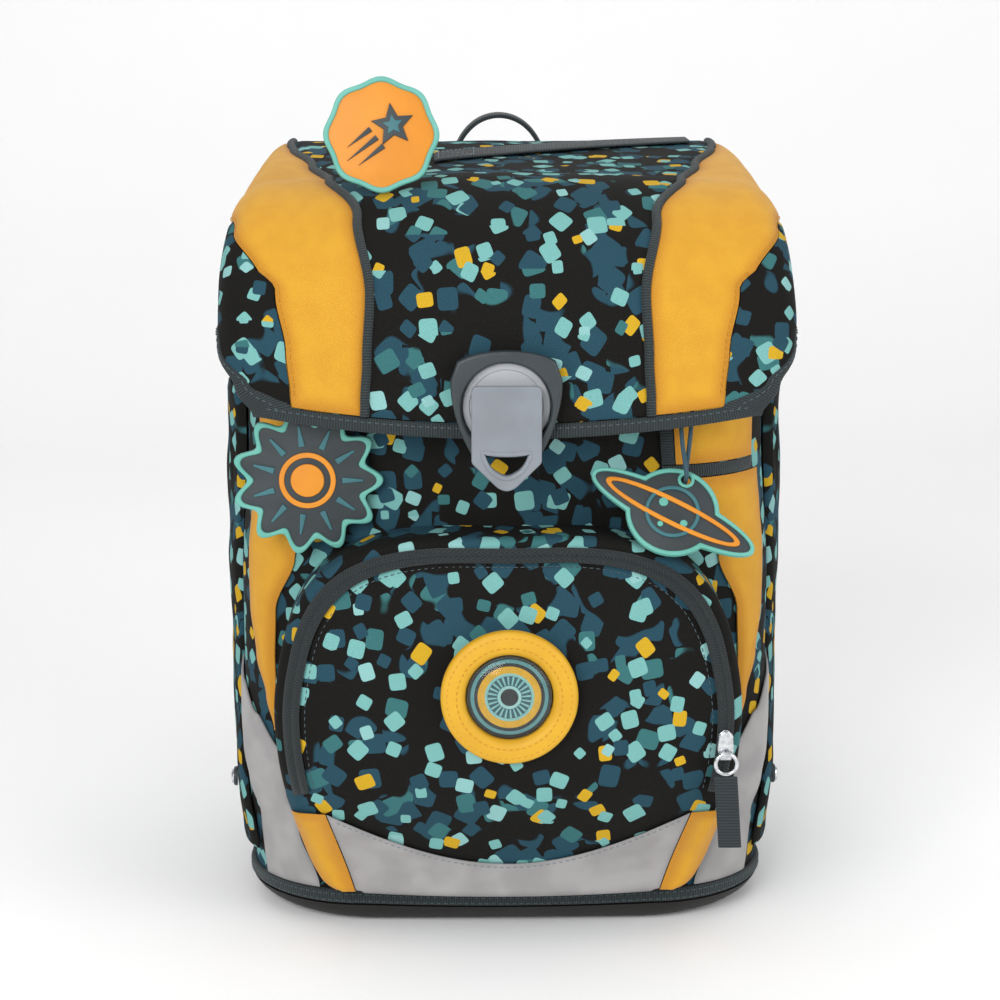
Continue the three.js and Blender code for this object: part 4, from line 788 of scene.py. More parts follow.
# Materials
class Paint:
    """A material's node tree, built a node at a time"""

    def __init__(self, name, roughness, metallic=0.0):
        self.material = bpy.data.materials.new(name)
        self.material.use_nodes = True
        self.tree = self.material.node_tree
        self.shader = self.tree.nodes["Principled BSDF"]
        self.shader.inputs["Roughness"].default_value = roughness
        self.shader.inputs["Metallic"].default_value = metallic

    def put(self, socket, value):
        if isinstance(value, bpy.types.NodeSocket):
            self.tree.links.new(value, socket)
        else:
            socket.default_value = value

    def node(self, kind, values=None, **settings):
        node = self.tree.nodes.new("ShaderNode" + kind)
        for key, value in settings.items():
            setattr(node, key, value)
        for key, value in (values or {}).items():
            self.put(node.inputs[key], value)
        return node

    def math(self, operation, first, second=0.0):
        return self.node("Math", {0: first, 1: second}, operation=operation).outputs[0]

    def vector(self, operation, first, second=(0, 0, 0)):
        return self.node("VectorMath", {0: first, 1: second}, operation=operation).outputs[0]

    def scaled(self, vector, factor):
        node = self.node("VectorMath", {0: vector}, operation="SCALE")
        node.inputs["Scale"].default_value = factor
        return node.outputs[0]

    def parts(self, vector):
        node = self.node("SeparateXYZ", {0: vector})
        return node.outputs[0], node.outputs[1], node.outputs[2]

    def range(self, value, low, high, to_low=0.0, to_high=1.0, soft=True):
        return self.node(
            "MapRange",
            {"Value": value, "From Min": low, "From Max": high, "To Min": to_low, "To Max": to_high},
            interpolation_type="SMOOTHSTEP" if soft else "LINEAR",
        ).outputs[0]

    def blend(self, share, low, high, mode="MIX"):
        node = self.tree.nodes.new("ShaderNodeMix")
        node.data_type = "RGBA"
        node.blend_type = mode
        self.put(node.inputs[0], share)
        self.put(node.inputs[6], low)
        self.put(node.inputs[7], high)
        return node.outputs[2]

    def ramp(self, value, stops, flat=False):
        node = self.node("ValToRGB", {0: value})
        ramp = node.color_ramp
        ramp.interpolation = "CONSTANT" if flat else "LINEAR"
        while len(ramp.elements) < len(stops):
            ramp.elements.new(0.5)
        for element, (place, colour) in zip(ramp.elements, stops):
            element.position = place
            element.color = colour
        return node.outputs[0]

    def cloth(self):
        return self.node("UVMap", uv_map="cloth").outputs[0]

    def object_place(self):
        return self.node("TexCoord").outputs["Object"]

    def noise(self, vector, scale, detail=3.0, dimensions="3D"):
        return self.node(
            "TexNoise", {"Vector": vector, "Scale": scale, "Detail": detail}, noise_dimensions=dimensions
        ).outputs[0]

    def bump(self, height, distance, strength):
        inputs = {"Height": height, "Distance": distance * MM, "Strength": strength}
        return self.node("Bump", inputs).outputs[0]

    def toned(self, colour, tone):
        """A colour made darker or lighter by a number"""
        grey = self.node("CombineXYZ", {0: tone, 1: tone, 2: tone}).outputs[0]
        return self.blend(1.0, colour, grey, "MULTIPLY")

    def finish(self, colour=None, normal=None, roughness=None):
        if colour is not None:
            self.put(self.shader.inputs["Base Color"], colour)
        if normal is not None:
            self.put(self.shader.inputs["Normal"], normal)
        if roughness is not None:
            self.put(self.shader.inputs["Roughness"], roughness)
        return self.material


def linear(code):
    """A display colour code as a linear colour"""
    shown = [int(code[place:place + 2], 16) / 255 for place in (0, 2, 4)]
    light = [value / 12.92 if value <= 0.04045 else ((value + 0.055) / 1.055) ** 2.4 for value in shown]
    return (*light, 1.0)


def weave_height(paint, pitch):
    """Over and under threads of a plain weave, pitch in millimetres"""
    x, y, _ = paint.parts(paint.scaled(paint.cloth(), 10 * math.pi / pitch))
    return paint.math("MULTIPLY", paint.math("SINE", x), paint.math("SINE", y))


def twill_height(paint, pitch):
    """Slanting ribs of a twill, pitch in millimetres"""
    x, y, _ = paint.parts(paint.scaled(paint.cloth(), 10 * math.tau / pitch))
    ribs = paint.math("SINE", paint.math("ADD", x, y))
    steps = paint.math("SINE", paint.math("MULTIPLY", x, 2.0))
    return paint.math("ADD", ribs, paint.math("MULTIPLY", steps, 0.35))


PRINT_COLOURS = {
    "petrol": "224655",
    "teal": "366b6d",
    "mint": "73ada9",
    "pale": "88bab8",
    "yellow": "c79f22",
}

# The print's scatters, from the cloth up: cell, smallest and largest square in mm, share kept
PRINT_LAYERS = columns_of(
    "cell small large keep clumped tint offset",
    (15.0, 10.0, 13.0, 0.80, True, "deep", 3.1),
    (14.0, 9.0, 12.0, 0.70, True, "deep", 7.7),
    (16.5, 8.0, 11.5, 0.42, False, "deep", 12.9),
    (16.0, 6.5, 9.5, 0.46, False, "bright", 17.3),
    (14.5, 5.0, 8.5, 0.38, False, "bright", 21.3),
    (14.0, 5.5, 8.0, 0.34, False, "deep", 27.1),
    (13.0, 4.2, 6.0, 0.20, False, "bright", 33.3),
)
PRINT_TINTS = {
    "deep": ((0.0, "petrol"), (0.82, "teal")),
    "bright": ((0.0, "mint"), (0.66, "pale"), (0.76, "yellow")),
}


def square_layer(paint, below, cell, small, large, colours, offset, keep, clumps=None):
    """One scatter of turned round-cornered squares over the cloth; sizes in millimetres"""
    place = paint.vector("ADD", paint.cloth(), (offset, offset * 0.7, 0))
    scatter = paint.node(
        "TexVoronoi", {"Vector": place, "Scale": 10 / cell, "Randomness": 0.6}, voronoi_dimensions="2D"
    )
    chance = paint.node("TexWhiteNoise", {"Vector": scatter.outputs["Position"]}, noise_dimensions="2D")
    first, second, third = paint.parts(chance.outputs["Color"])
    away = paint.vector("SUBTRACT", place, scatter.outputs["Position"])
    angle = paint.math("MULTIPLY", first, math.tau)
    turned = paint.node("VectorRotate", {"Vector": away, "Angle": angle}, rotation_type="Z_AXIS").outputs[0]
    x, y, _ = paint.parts(turned)
    stretch = paint.range(second, 0, 1, 0.85, 1.25, soft=False)
    x4 = paint.math("POWER", paint.math("ABSOLUTE", paint.math("MULTIPLY", x, stretch)), 5.0)
    y4 = paint.math("POWER", paint.math("ABSOLUTE", y), 5.0)
    reach = paint.math("POWER", paint.math("ADD", x4, y4), 0.2)
    half = paint.range(third, 0, 1, small / 20, large / 20, soft=False)
    edge = paint.math("SUBTRACT", half, reach)
    inside = paint.range(edge, 0.0, 0.012)
    shown = paint.math("LESS_THAN", scatter.outputs["Color"], keep)
    if clumps is not None:
        shown = paint.math("MULTIPLY", shown, clumps)
    mask = paint.math("MULTIPLY", inside, shown)
    stops = [(share, linear(PRINT_COLOURS[colour])) for share, colour in colours]
    tint = paint.ramp(second, stops, flat=True)
    return paint.blend(mask, below, tint)


def print_cloth():
    """Dark twill with a scattered print of turned squares"""
    paint = Paint("printed_cloth", 0.82)
    cloth = paint.cloth()
    clump = paint.range(paint.noise(cloth, 0.34, 1.0, "2D"), 0.54, 0.57)
    speckle = paint.noise(cloth, 60.0, 2.0, "2D")
    colour = paint.blend(speckle, linear("090806"), linear("12110f"))
    for row in PRINT_LAYERS:
        colour = square_layer(
            paint, colour, row["cell"], row["small"], row["large"], PRINT_TINTS[row["tint"]],
            row["offset"], row["keep"], clump if row["clumped"] else None,
        )
    paint.shader.inputs["Specular IOR Level"].default_value = 0.2
    twill = twill_height(paint, 1.05)
    shade = paint.range(twill, -1.2, 1.2, 0.80, 1.14, soft=False)
    return paint.finish(paint.toned(colour, shade), paint.bump(twill, 0.10, 0.5))


def plain_cloth(name, base, shaded, pitch):
    """Fine woven cloth, a little darker towards its sewn edges: painted shade there, broken up by random tone
    """
    paint = Paint(name, 0.8)
    near = paint.node("Attribute", attribute_name="edge_mm").outputs["Fac"]
    # painted shade: within 9 mm of a sewn edge the colour goes over to the shaded one
    inner = paint.range(near, 0.0, 9.0)
    cloud = paint.noise(paint.cloth(), 0.9, 3.0, "2D")
    share = paint.math("MULTIPLY", inner, paint.range(cloud, 0.3, 0.7, 0.75, 1.0))
    colour = paint.blend(share, linear(shaded), linear(base))
    weave = weave_height(paint, pitch)
    tone = paint.range(weave, -1, 1, 0.90, 1.05, soft=False)
    paint.shader.inputs["Sheen Weight"].default_value = 0.1
    return paint.finish(paint.toned(colour, tone), paint.bump(weave, 0.12, 0.5))


def ribbed_tape(name, base, dark, rib, along_v=True, herringbone=False):
    """Woven tape with ribs across it, or a herringbone"""
    paint = Paint(name, 0.78)
    x, y, _ = paint.parts(paint.cloth())
    run, side = (y, x) if along_v else (x, y)
    phase = paint.math("MULTIPLY", run, 10 * math.tau / rib)
    if herringbone:
        fold = paint.math("PINGPONG", paint.math("MULTIPLY", side, 10.0), 2.0)
        phase = paint.math("ADD", phase, paint.math("MULTIPLY", fold, math.tau / rib))
    ribs = paint.math("SINE", phase)
    share = paint.range(ribs, -0.9, 0.9)
    fibre = paint.noise(paint.cloth(), 45.0, 3.0, "2D")
    share = paint.math("MULTIPLY", share, paint.range(fibre, 0.2, 0.8, 0.6, 1.0))
    colour = paint.blend(share, linear(dark), linear(base))
    normal = paint.bump(ribs, 0.22, 0.8)
    paint.shader.inputs["Sheen Weight"].default_value = 0.1
    return paint.finish(colour, normal)


def reflective_cloth():
    """Satin grey reflective cloth with a fine grain, painted shade along its sewn edges and painted sparkle
    in lighter flecks
    """
    paint = Paint("reflective_cloth", 0.5)
    near = paint.node("Attribute", attribute_name="edge_mm").outputs["Fac"]
    cloud = paint.noise(paint.cloth(), 0.5, 2.0, "2D")
    grain = paint.noise(paint.cloth(), 70.0, 2.0, "2D")
    colour = paint.blend(paint.range(cloud, 0.3, 0.7), linear("8b8988"), linear("9a9897"))
    # painted shade: up to a third of a darker grey within 3 mm of a sewn edge
    colour = paint.blend(paint.range(near, 0.0, 3.0, 0.35, 0.0), colour, linear("656365"))
    # painted sparkle: lighter flecks where the grain noise is high; the same noise gives the real grain's
    # bump and roughness
    colour = paint.blend(paint.range(grain, 0.3, 0.7, 0.0, 0.18), colour, linear("c4c2c6"))
    roughness = paint.range(grain, 0.3, 0.7, 0.42, 0.58)
    return paint.finish(colour, paint.bump(grain, 0.05, 0.4), roughness)


def moulded(name, base, worn, roughness):
    """Moulded plastic or rubber with a fine grain and slight tone changes"""
    paint = Paint(name, roughness)
    place = paint.object_place()
    cloud = paint.noise(place, 40.0, 3.0)
    fine = paint.noise(place, 3000.0, 2.0)
    colour = paint.blend(paint.range(cloud, 0.35, 0.65), linear(base), linear(worn))
    rough = paint.range(fine, 0.3, 0.7, roughness - 0.06, roughness + 0.06)
    return paint.finish(colour, paint.bump(fine, 0.05, 0.4), rough)


def thread(name, colour, dark):
    paint = Paint(name, 0.6)
    twist = paint.node("TexWave", {"Vector": paint.object_place(), "Scale": 900.0, "Distortion": 2.0})
    tone = paint.blend(twist.outputs["Fac"], linear(dark), linear(colour))
    return paint.finish(tone, paint.bump(twist.outputs["Fac"], 0.05, 0.5))


def mesh_cloth():
    """Spacer mesh on the back: rows of small holes"""
    paint = Paint("padding_cloth", 0.9)
    place = paint.object_place()
    holes = paint.node("TexVoronoi", {"Vector": place, "Scale": 420.0, "Randomness": 0.15}, feature="F1")
    deep = paint.range(holes.outputs["Distance"], 0.12, 0.4)
    cloud = paint.noise(place, 18.0, 3.0)
    colour = paint.blend(deep, linear("0d0f10"), paint.blend(cloud, linear("24292b"), linear("30373a")))
    return paint.finish(colour, paint.bump(deep, 0.5, 0.7))


def lens_print():
    """A plain target of rings with a ring of dots, under the clear dome"""
    paint = Paint("lens_print", 0.35)
    x, y, _ = paint.parts(paint.cloth())
    squares = paint.math("ADD", paint.math("MULTIPLY", x, x), paint.math("MULTIPLY", y, y))
    radius = paint.math("SQRT", squares)
    angle = paint.math("ARCTAN2", y, x)
    rings = paint.ramp(
        paint.math("DIVIDE", radius, LENS_RADIUS / 10),
        (
            (0.0, linear("16191b")), (0.20, linear("9fd0cc")), (0.27, linear("2b5a66")),
            (0.50, linear("8cc6c0")), (0.56, linear("e0ac24")), (0.72, linear("24292b")),
            (0.80, linear("5f9a9c")), (0.88, linear("1b1d1f")),
        ),
        flat=True,
    )
    beat = paint.math("SINE", paint.math("MULTIPLY", angle, 24.0))
    band = paint.math(
        "MULTIPLY", paint.range(radius, 0.55, 0.60), paint.range(radius, 0.96, 1.0, 1.0, 0.0)
    )
    spokes = paint.math("MULTIPLY", paint.range(beat, 0.2, 0.5), band)
    colour = paint.blend(spokes, rings, linear("8cc6c0"))
    fine = paint.noise(paint.cloth(), 30.0, 2.0, "2D")
    colour = paint.blend(paint.range(fine, 0.4, 0.7, 0.0, 0.2), colour, linear("2a2f31"))
    return paint.finish(colour)


def clear_dome():
    paint = Paint("lens_clear", 0.03)
    fine = paint.noise(paint.object_place(), 300.0, 2.0)
    paint.shader.inputs["Transmission Weight"].default_value = 1.0
    paint.shader.inputs["IOR"].default_value = 1.25
    tone = paint.blend(paint.range(fine, 0.3, 0.7), linear("f2f6f6"), linear("ffffff"))
    return paint.finish(tone)


def chrome():
    paint = Paint("chrome_metal", 0.22, 1.0)
    fine = paint.noise(paint.object_place(), 500.0, 3.0)
    tone = paint.blend(paint.range(fine, 0.3, 0.7), linear("b9bcc0"), linear("dfe1e3"))
    return paint.finish(tone, None, paint.range(fine, 0.3, 0.7, 0.16, 0.30))


PRINT = print_cloth()
# be8011 is the painted shade along the yellow cloth's sewn edges
YELLOW = plain_cloth("yellow_cloth", "d0981a", "be8011", 0.75)
TAPE = ribbed_tape("petrol_tape", "2c3a3d", "12191b", 1.3)
TAPE_CROSS = ribbed_tape("petrol_tape_cross", "2c3a3d", "12191b", 1.3, along_v=False)
ZIP_TAPE = ribbed_tape("zip_tape", "1f2b2e", "0c1214", 1.6, herringbone=True)
WEBBING = ribbed_tape("dark_webbing", "27343a", "11181b", 1.5)
GREY = reflective_cloth()
BASE = moulded("base_plastic", "0b0a08", "131210", 0.62)
FRAME = moulded("frame_plastic", "2a3134", "30383c", 0.42)
PLATE = moulded("plate_plastic", "787d84", "80868d", 0.40)
# painted light: the dial is a lighter copy of the lever plate's grey, brightened to offset the shade of its
# recess in the buckle frame
LIGHTENED_DIAL = moulded("dial_plastic_lightened", "a5a8ac", "adb0b4", 0.40)
RING = moulded("yellow_rubber", "d5a31c", "cd9a17", 0.55)
PADDING = mesh_cloth()
LENS_PRINT = lens_print()
CLEAR = clear_dome()
CHROME = chrome()
MINT_RUBBER = moulded("mint_rubber", "5aa597", "65ada0", 0.5)
DARK_RUBBER = moulded("dark_rubber", "272f32", "2f373b", 0.5)
ORANGE_RUBBER = moulded("orange_rubber", "d98a18", "d18214", 0.5)
TEAL_RUBBER = moulded("teal_rubber", "2f646c", "376d74", 0.5)
THREAD_DARK = thread("petrol_thread", "52666c", "2f3c41")
THREAD_YELLOW = thread("yellow_thread", "d69a20", "b57c14")
THREAD_GREY = thread("grey_thread", "8d9aa0", "5e6a70")
CORD_CLOTH = ribbed_tape("cord_cloth", "3d6272", "203640", 0.9)


# Pieces of the body
def ring_stations(counts):
    """Places round the body where its rings have their points, both halves"""
    right = [(stretch, step / count) for stretch, count in enumerate(counts) for step in range(count)]
    right.append((len(counts) - 1, 1.0))
    left = list(reversed(right[1:-1]))
    return [(1, *place) for place in right] + [(-1, *place) for place in left]


STATIONS = ring_stations((26, 18, 24, 10, 24))


def body_rim(x, y):
    """Height of the body's rim, following the lid's underside"""
    radius = lid_corner_radius(y)
    aside = min(1.0, max(0.0, (abs(x) - lid_half_width(y) + radius) / radius))
    drop = LID_STAND_OFF + radius * (1 - math.sqrt(1 - aside * aside))
    if y >= LID_BEND_Y:
        return LID_TOP - LID_SLOPE - drop
    inner = LID_BEND_RADIUS - drop
    reach = min(abs(y - LID_BEND_Y), inner)
    return LID_BEND_Z + math.sqrt(inner * inner - reach * reach)


def body_ring(height_at, lift):
    ring = []
    for sign, stretch, share in STATIONS:
        trial = body_point(sign * round_at(BODY_HEIGHT, stretch, share), BODY_HEIGHT, 0)
        z = height_at(trial.x, trial.y)
        around = sign * round_at(z, stretch, share)
        ring.append((body_point(around, z, lift), (around, z)))
    return ring


def level_ring(height, lift):
    return body_ring(lambda x, y: height, lift)


def loft_mesh(name, rings, closed=False):
    """A closed mesh through rings of (point, cloth place), its ends capped unless it closes on itself"""
    count = len(rings[0])
    points = [point for ring in rings for point, _ in ring]
    uvs = [place for ring in rings for _, place in ring]
    faces = []
    last = len(rings) if closed else len(rings) - 1
    for index in range(last):
        low, high = index * count, ((index + 1) % len(rings)) * count
        for step in range(count):
            after = (step + 1) % count
            faces.append((low + step, low + after, high + after, high + step))
    if not closed:
        faces.append(tuple(range(count - 1, -1, -1)))
        faces.append(tuple(range((len(rings) - 1) * count, len(rings) * count)))
    return mesh_from(name, points, faces, uvs)


def build_body():
    floor = TRAY_WALL + GAP
    walls = [step / 44 for step in range(45)]
    foot = [floor + (TRAY_HEIGHT - floor) * share for share in (0.15, 0.35, 0.6, 0.85)]

    def wall(share):
        return lambda x, y: mix(TRAY_HEIGHT, body_rim(x, y), share)

    rings = [level_ring(floor, -6)]
    rings += [level_ring(height, 0) for height in foot]
    rings += [body_ring(wall(share), 0) for share in walls]
    rings += [body_ring(wall(1.0), -SHELL_WALL)]
    rings += [body_ring(wall(share), -SHELL_WALL) for share in reversed(walls[:-1])]
    rings += [level_ring(floor + 4, -SHELL_WALL - 1)]
    to_object("body_cloth", loft_mesh("body_cloth", rings), PRINT, ["body_shell"])


def build_base():
    shares = [0.04, 0.12, 0.25, 0.4, 0.6, 0.8, 1.0]
    heights = [TRAY_WALL + share * (TRAY_HEIGHT - TRAY_WALL) for share in shares]
    rings = [level_ring(height, TRAY_WALL + TRAY_GAP) for height in (0, 1, 2, *heights)]
    rings += [level_ring(height, TRAY_GAP) for height in (*reversed(heights), TRAY_WALL)]
    to_object("base_moulding", loft_mesh("base_moulding", rings), BASE, ["base_tray"])
    low = TRAY_HEIGHT + GAP
    section = [
        (0.0, 0.0), (0.4, TAPE_THICKNESS + 1.0), (1.2, TAPE_THICKNESS + 1.8),
        (3.5, TAPE_THICKNESS + 1.5), (6.0, TAPE_THICKNESS + 0.7), (6.8, TAPE_THICKNESS + 0.2),
        (TAPE_WIDTH, TAPE_THICKNESS * 0.5), (TAPE_WIDTH, 0.0),
    ]
    tape = []
    for up, out in section:
        ring = level_ring(low + up, GAP + out)
        tape.append([(point, (up, place[0])) for point, place in ring])
    to_object("base_binding", loft_mesh("base_binding", tape, True), TAPE, ["base_tape"])
    rows = []
    reach = 2.2 * POCKET_HALF_WIDTH
    for up, out in ((2.0, TAPE_THICKNESS + 1.75), (5.2, TAPE_THICKNESS + 0.95)):
        def place_at(share, up=up, out=out):
            around = mix(-reach, reach, share)
            point = body_point(around, low + up, GAP + out)
            return point, (body_point(around, low + up, GAP + out + 3) - point).normalized()
        rows.append(stitch_row(place_at, 320, *TAPE_STITCH))
    stitches("base_stitches", rows, THREAD_DARK)


def skin_mesh(name, rows, columns, place_at, puff=0.0, wave=0.0, wave_size=45.0):
    """A skin sewn on the body; place_at(row, column) gives the round length and the height"""
    def point_at(row, column, layer):
        around, z = place_at(row, column)
        middle = math.sin(math.pi * row) * math.sin(math.pi * column)
        swell = puff * middle ** 0.5 if layer and puff else 0.0
        return body_point(around, z, SKIN_LIFT + layer * SKIN + swell)
    return sheet_mesh(name, rows, columns, point_at, place_at, wave=wave, wave_size=wave_size)


def build_front_panels():
    for side, name in ((-1, "left"), (1, "right")):
        lower_top = BAND_UP - BAND_HEIGHT / 2 - SEAM_GAP

        def yellow(row, column):
            inner = reading(YELLOW_EDGES, row, "inner")
            outer = reading(YELLOW_EDGES, row, "outer")
            return side * mix(inner, outer, column) * POCKET_HALF_WIDTH, mix(YELLOW_TIP_UP, lower_top, row)

        def trim_at(row):
            return mix(FRONT_TRIM_BOTTOM_ACROSS, FRONT_TRIM_TOP_ACROSS, row)

        def trim(row, column):
            z = mix(BAND_UP + BAND_HEIGHT / 2 + SEAM_GAP, FRONT_TRIM_TOP, row)
            return side * (trim_at(row) + (column - 0.5) * FRONT_TRIM_WIDTH), z

        def band(row, column):
            start = FRONT_TRIM_BOTTOM_ACROSS - FRONT_TRIM_WIDTH / 2
            return side * mix(start, BAND_END, column), BAND_UP + (row - 0.5) * BAND_HEIGHT

        def upper(row, column):
            z = mix(BAND_UP + BAND_HEIGHT / 2 + SEAM_GAP, FRONT_TRIM_TOP, row)
            return side * mix(trim_at(row) + FRONT_TRIM_WIDTH / 2 + SEAM_GAP, BAND_END, column), z

        low = skin_mesh(f"lower_yellow_{name}", 60, 18, yellow, puff=0.8, wave=0.5, wave_size=30)
        to_object(f"lower_yellow_{name}", low, YELLOW, [f"body_yellow_panel_{name}"])
        high = skin_mesh(f"upper_yellow_{name}", 24, 20, upper, puff=0.6, wave=0.5, wave_size=30)
        to_object(f"upper_yellow_{name}", high, YELLOW, [f"body_upper_yellow_{name}"])
        upright = skin_mesh(f"front_trim_{name}", 30, 5, trim, puff=0.5)
        to_object(f"front_trim_{name}", upright, TAPE, [f"body_front_trim_{name}"])
        level = skin_mesh(f"front_band_{name}", 5, 30, band, puff=0.5)
        to_object(f"front_band_{name}", level, TAPE_CROSS, [f"body_front_band_{name}"])


def build_grey_sides():
    for side, name in ((-1, "left"), (1, "right")):
        def place_at(row, column):
            up = row * reading(GREY_TOPS, column, "up")
            inner = reading(GREY_EDGES, up, "inner")
            outer = reading(GREY_EDGES, up, "outer")
            return side * mix(inner, outer, column) * POCKET_HALF_WIDTH, PANEL_FOOT + up * GREY_HEIGHT
        mesh = skin_mesh(f"grey_side_{name}", 44, 36, place_at, puff=0.5, wave=0.4, wave_size=35)
        to_object(f"grey_side_{name}", mesh, GREY, [f"reflective_panel_{name}"])


def side_pocket_point(side, row, column, lift):
    z = mix(SIDE_POCKET_BOTTOM, SIDE_POCKET_TOP, row)
    front = reading(SIDE_POCKET_EDGES, row, "front")
    full = reading(SIDE_POCKET_EDGES, row, "full") * SIDE_POCKET_FULLNESS
    around = mix(front, SIDE_POCKET_BACK, column ** 1.3) * POCKET_HALF_WIDTH
    swell = full * max(0.0, math.sin(math.pi * column)) ** 0.7
    return body_point(side * around, z, SKIN_LIFT * 1.4 + lift + swell)


def build_side_pockets():
    for side, name in ((-1, "left"), (1, "right")):
        def point_at(row, column, layer):
            gather = 0.9 * math.exp(-((row - 0.86) / 0.07) ** 2) * math.sin(column * 46) * (1 - column)
            return side_pocket_point(side, row, column, layer * SIDE_POCKET_WALL + gather)

        def uv_at(row, column):
            return (mix(1.3, SIDE_POCKET_BACK, column) * POCKET_HALF_WIDTH + 400,
                    mix(SIDE_POCKET_BOTTOM, SIDE_POCKET_TOP, row))
        cloth = f"side_pocket_cloth_{name}"
        mesh = sheet_mesh(cloth, 70, 60, point_at, uv_at, wave=1.0, wave_size=40)
        to_object(cloth, mesh, PRINT, [f"side_pocket_{name}"])

        row = (STUD_UP - SIDE_POCKET_BOTTOM) / (SIDE_POCKET_TOP - SIDE_POCKET_BOTTOM)
        seat = side_pocket_point(side, row, 0.3, SIDE_POCKET_WALL)
        cap = lathe_mesh(f"stud_cap_{name}", (
            (0.0, 0.0), (STUD_RADIUS * 0.80, 0.0), (STUD_RADIUS * 0.82, 1.6), (STUD_RADIUS * 0.7, 2.6),
            (STUD_RADIUS * 0.4, 3.0), (0.0, 3.1),
        ), 40)
        rim = lathe_mesh(f"stud_rim_{name}", (
            (STUD_RADIUS * 0.84, 0.0), (STUD_RADIUS, 0.0), (STUD_RADIUS, 0.9), (STUD_RADIUS * 0.92, 1.5),
            (STUD_RADIUS * 0.84, 1.2), (STUD_RADIUS * 0.84, 0.0),
        ), 40)
        for mesh in (cap, rim):
            mesh.transform(Matrix.Rotation(side * math.pi / 2, 4, "Y"))
            mesh.transform(Matrix.Translation((seat + Vector((side * 0.8, 0, 0))) * MM))
        to_object(f"stud_cap_{name}", cap, CHROME, [f"side_stud_{name}"])
        to_object(f"stud_rim_{name}", rim, DARK_RUBBER, [f"side_stud_{name}"])


# Pieces of the lid
def lid_panel_mesh(name, rows, columns, start_at, end_at, puff=0.0, wave=0.6):
    def place(row, column):
        share = row ** LID_ROW_POWER * LID_PANEL_END
        return mix(start_at(share), end_at(share), column), share

    def point_at(row, column, layer):
        across, share = place(row, column)
        swell = puff * max(0.0, math.sin(math.pi * column)) ** 0.6 if layer else 0.0
        return lid_point(across, share, layer * LID_THICKNESS + swell)

    def uv_at(row, column):
        return lid_uv(*place(row, column))
    return sheet_mesh(name, rows, columns, point_at, uv_at, wave=wave)


def build_lid():
    tuck = -BINDING_WIDTH * 0.6
    piping_half = PIPING_DIAMETER * 0.3
    centre = lid_panel_mesh(
        "lid_cloth", 90, 70,
        lambda share: lid_seam("piping", share, -1, -piping_half),
        lambda share: lid_seam("piping", share, 1, -piping_half), wave=0.9,
    )
    to_object("lid_cloth", centre, PRINT, ["lid_centre_panel"])
    for side, name in ((-1, "left"), (1, "right")):
        yellow = lid_panel_mesh(
            f"lid_yellow_{name}", 90, 26,
            lambda share: lid_seam("piping", share, side, piping_half),
            lambda share: lid_seam("seam", share, side, -SEAM_GAP / 2), puff=0.7,
        )
        to_object(f"lid_yellow_{name}", yellow, YELLOW, [f"lid_yellow_panel_{name}"])
        ear = lid_panel_mesh(
            f"lid_side_{name}", 90, 26,
            lambda share: lid_seam("seam", share, side, SEAM_GAP / 2),
            lambda share: lid_seam("edge", min(1, share + binding_setback(share)), side, tuck),
        )
        to_object(f"lid_side_{name}", ear, PRINT, [f"lid_ear_{name}"])
        build_piping(side, name)
        build_lid_stitches(side, name)
    build_binding()


def build_piping(side, name):
    steps = 110
    centres, ups = [], []
    for step in range(steps + 1):
        share = (step / steps) ** LID_ROW_POWER * LID_PANEL_END
        across = lid_seam("piping", share, side, 0)
        centre = lid_point(across, share, LID_THICKNESS / 2 + 0.4)
        centres.append(centre)
        ups.append((lid_point(across, share, LID_THICKNESS / 2 + 5) - centre).normalized())
    mesh = tube_mesh(f"piping_{name}", centres, ups, PIPING_DIAMETER / 2 + 0.25, 14)
    to_object(f"piping_{name}", mesh, TAPE, [f"lid_piping_{name}"])


def build_lid_stitches(side, name):
    def place_at(share):
        along = (0.02 + 0.96 * share) * LID_PANEL_END
        across = lid_seam("seam", along, side, -STITCH_INSET)
        point = lid_point(across, along, LID_THICKNESS + 0.15)
        return point, (lid_point(across, along, LID_THICKNESS + 5) - point).normalized()
    row = stitch_row(place_at, 200, *LID_STITCH)
    stitches(f"lid_stitches_{name}", [row], THREAD_YELLOW)


def binding_places(side_steps=90, front_steps=120):
    corner = reading(LID_SEAMS, 1, "edge")
    places = []
    for step in range(side_steps + 1):
        share = (step / side_steps) ** LID_ROW_POWER
        places.append((-reading(LID_SEAMS, share, "edge"), share))
    places += [(mix(-corner, corner, step / front_steps), 1.0) for step in range(1, front_steps)]
    for step in range(side_steps + 1):
        share = (1 - step / side_steps) ** LID_ROW_POWER
        places.append((reading(LID_SEAMS, share, "edge"), share))
    return corner, places


def binding_setback(share, width=BINDING_WIDTH):
    """How far a line of the binding lies back from the lid's front edge"""
    return width / LID_LENGTH * smooth(share, 0.9, 1)


def binding_inward(across, share, corner, width):
    side = math.copysign(1, across) * min(1, abs(across) / corner)
    sideways = min(1, abs(side) ** 8)
    shift = across_shift(across, width) * sideways * math.copysign(1, across)
    return across - shift, share - binding_setback(share, width)


def strip_mesh(name, corners, sides=16, roundness=0.45):
    """A solid strip through stations of four corners (near, far) x (under, over), with round edges"""
    rings = []
    middles = [(near_over + far_over) / 2 for _, near_over, _, far_over in corners]
    lengths = spread(middles)
    for station, (near_under, near_over, far_under, far_over) in enumerate(corners):
        width = (far_over - near_over).length
        ring = []
        for turn in range(sides):
            angle = turn / sides * math.tau
            cosine, sine = math.cos(angle), math.sin(angle)
            across = 0.5 + 0.5 * math.copysign(abs(cosine) ** roundness, cosine)
            high = 0.5 + 0.5 * math.copysign(abs(sine) ** 0.7, sine)
            under = near_under.lerp(far_under, across)
            over = near_over.lerp(far_over, across)
            ring.append((under.lerp(over, high), (across * width, lengths[station])))
        rings.append(ring)
    return loft_mesh(name, rings)


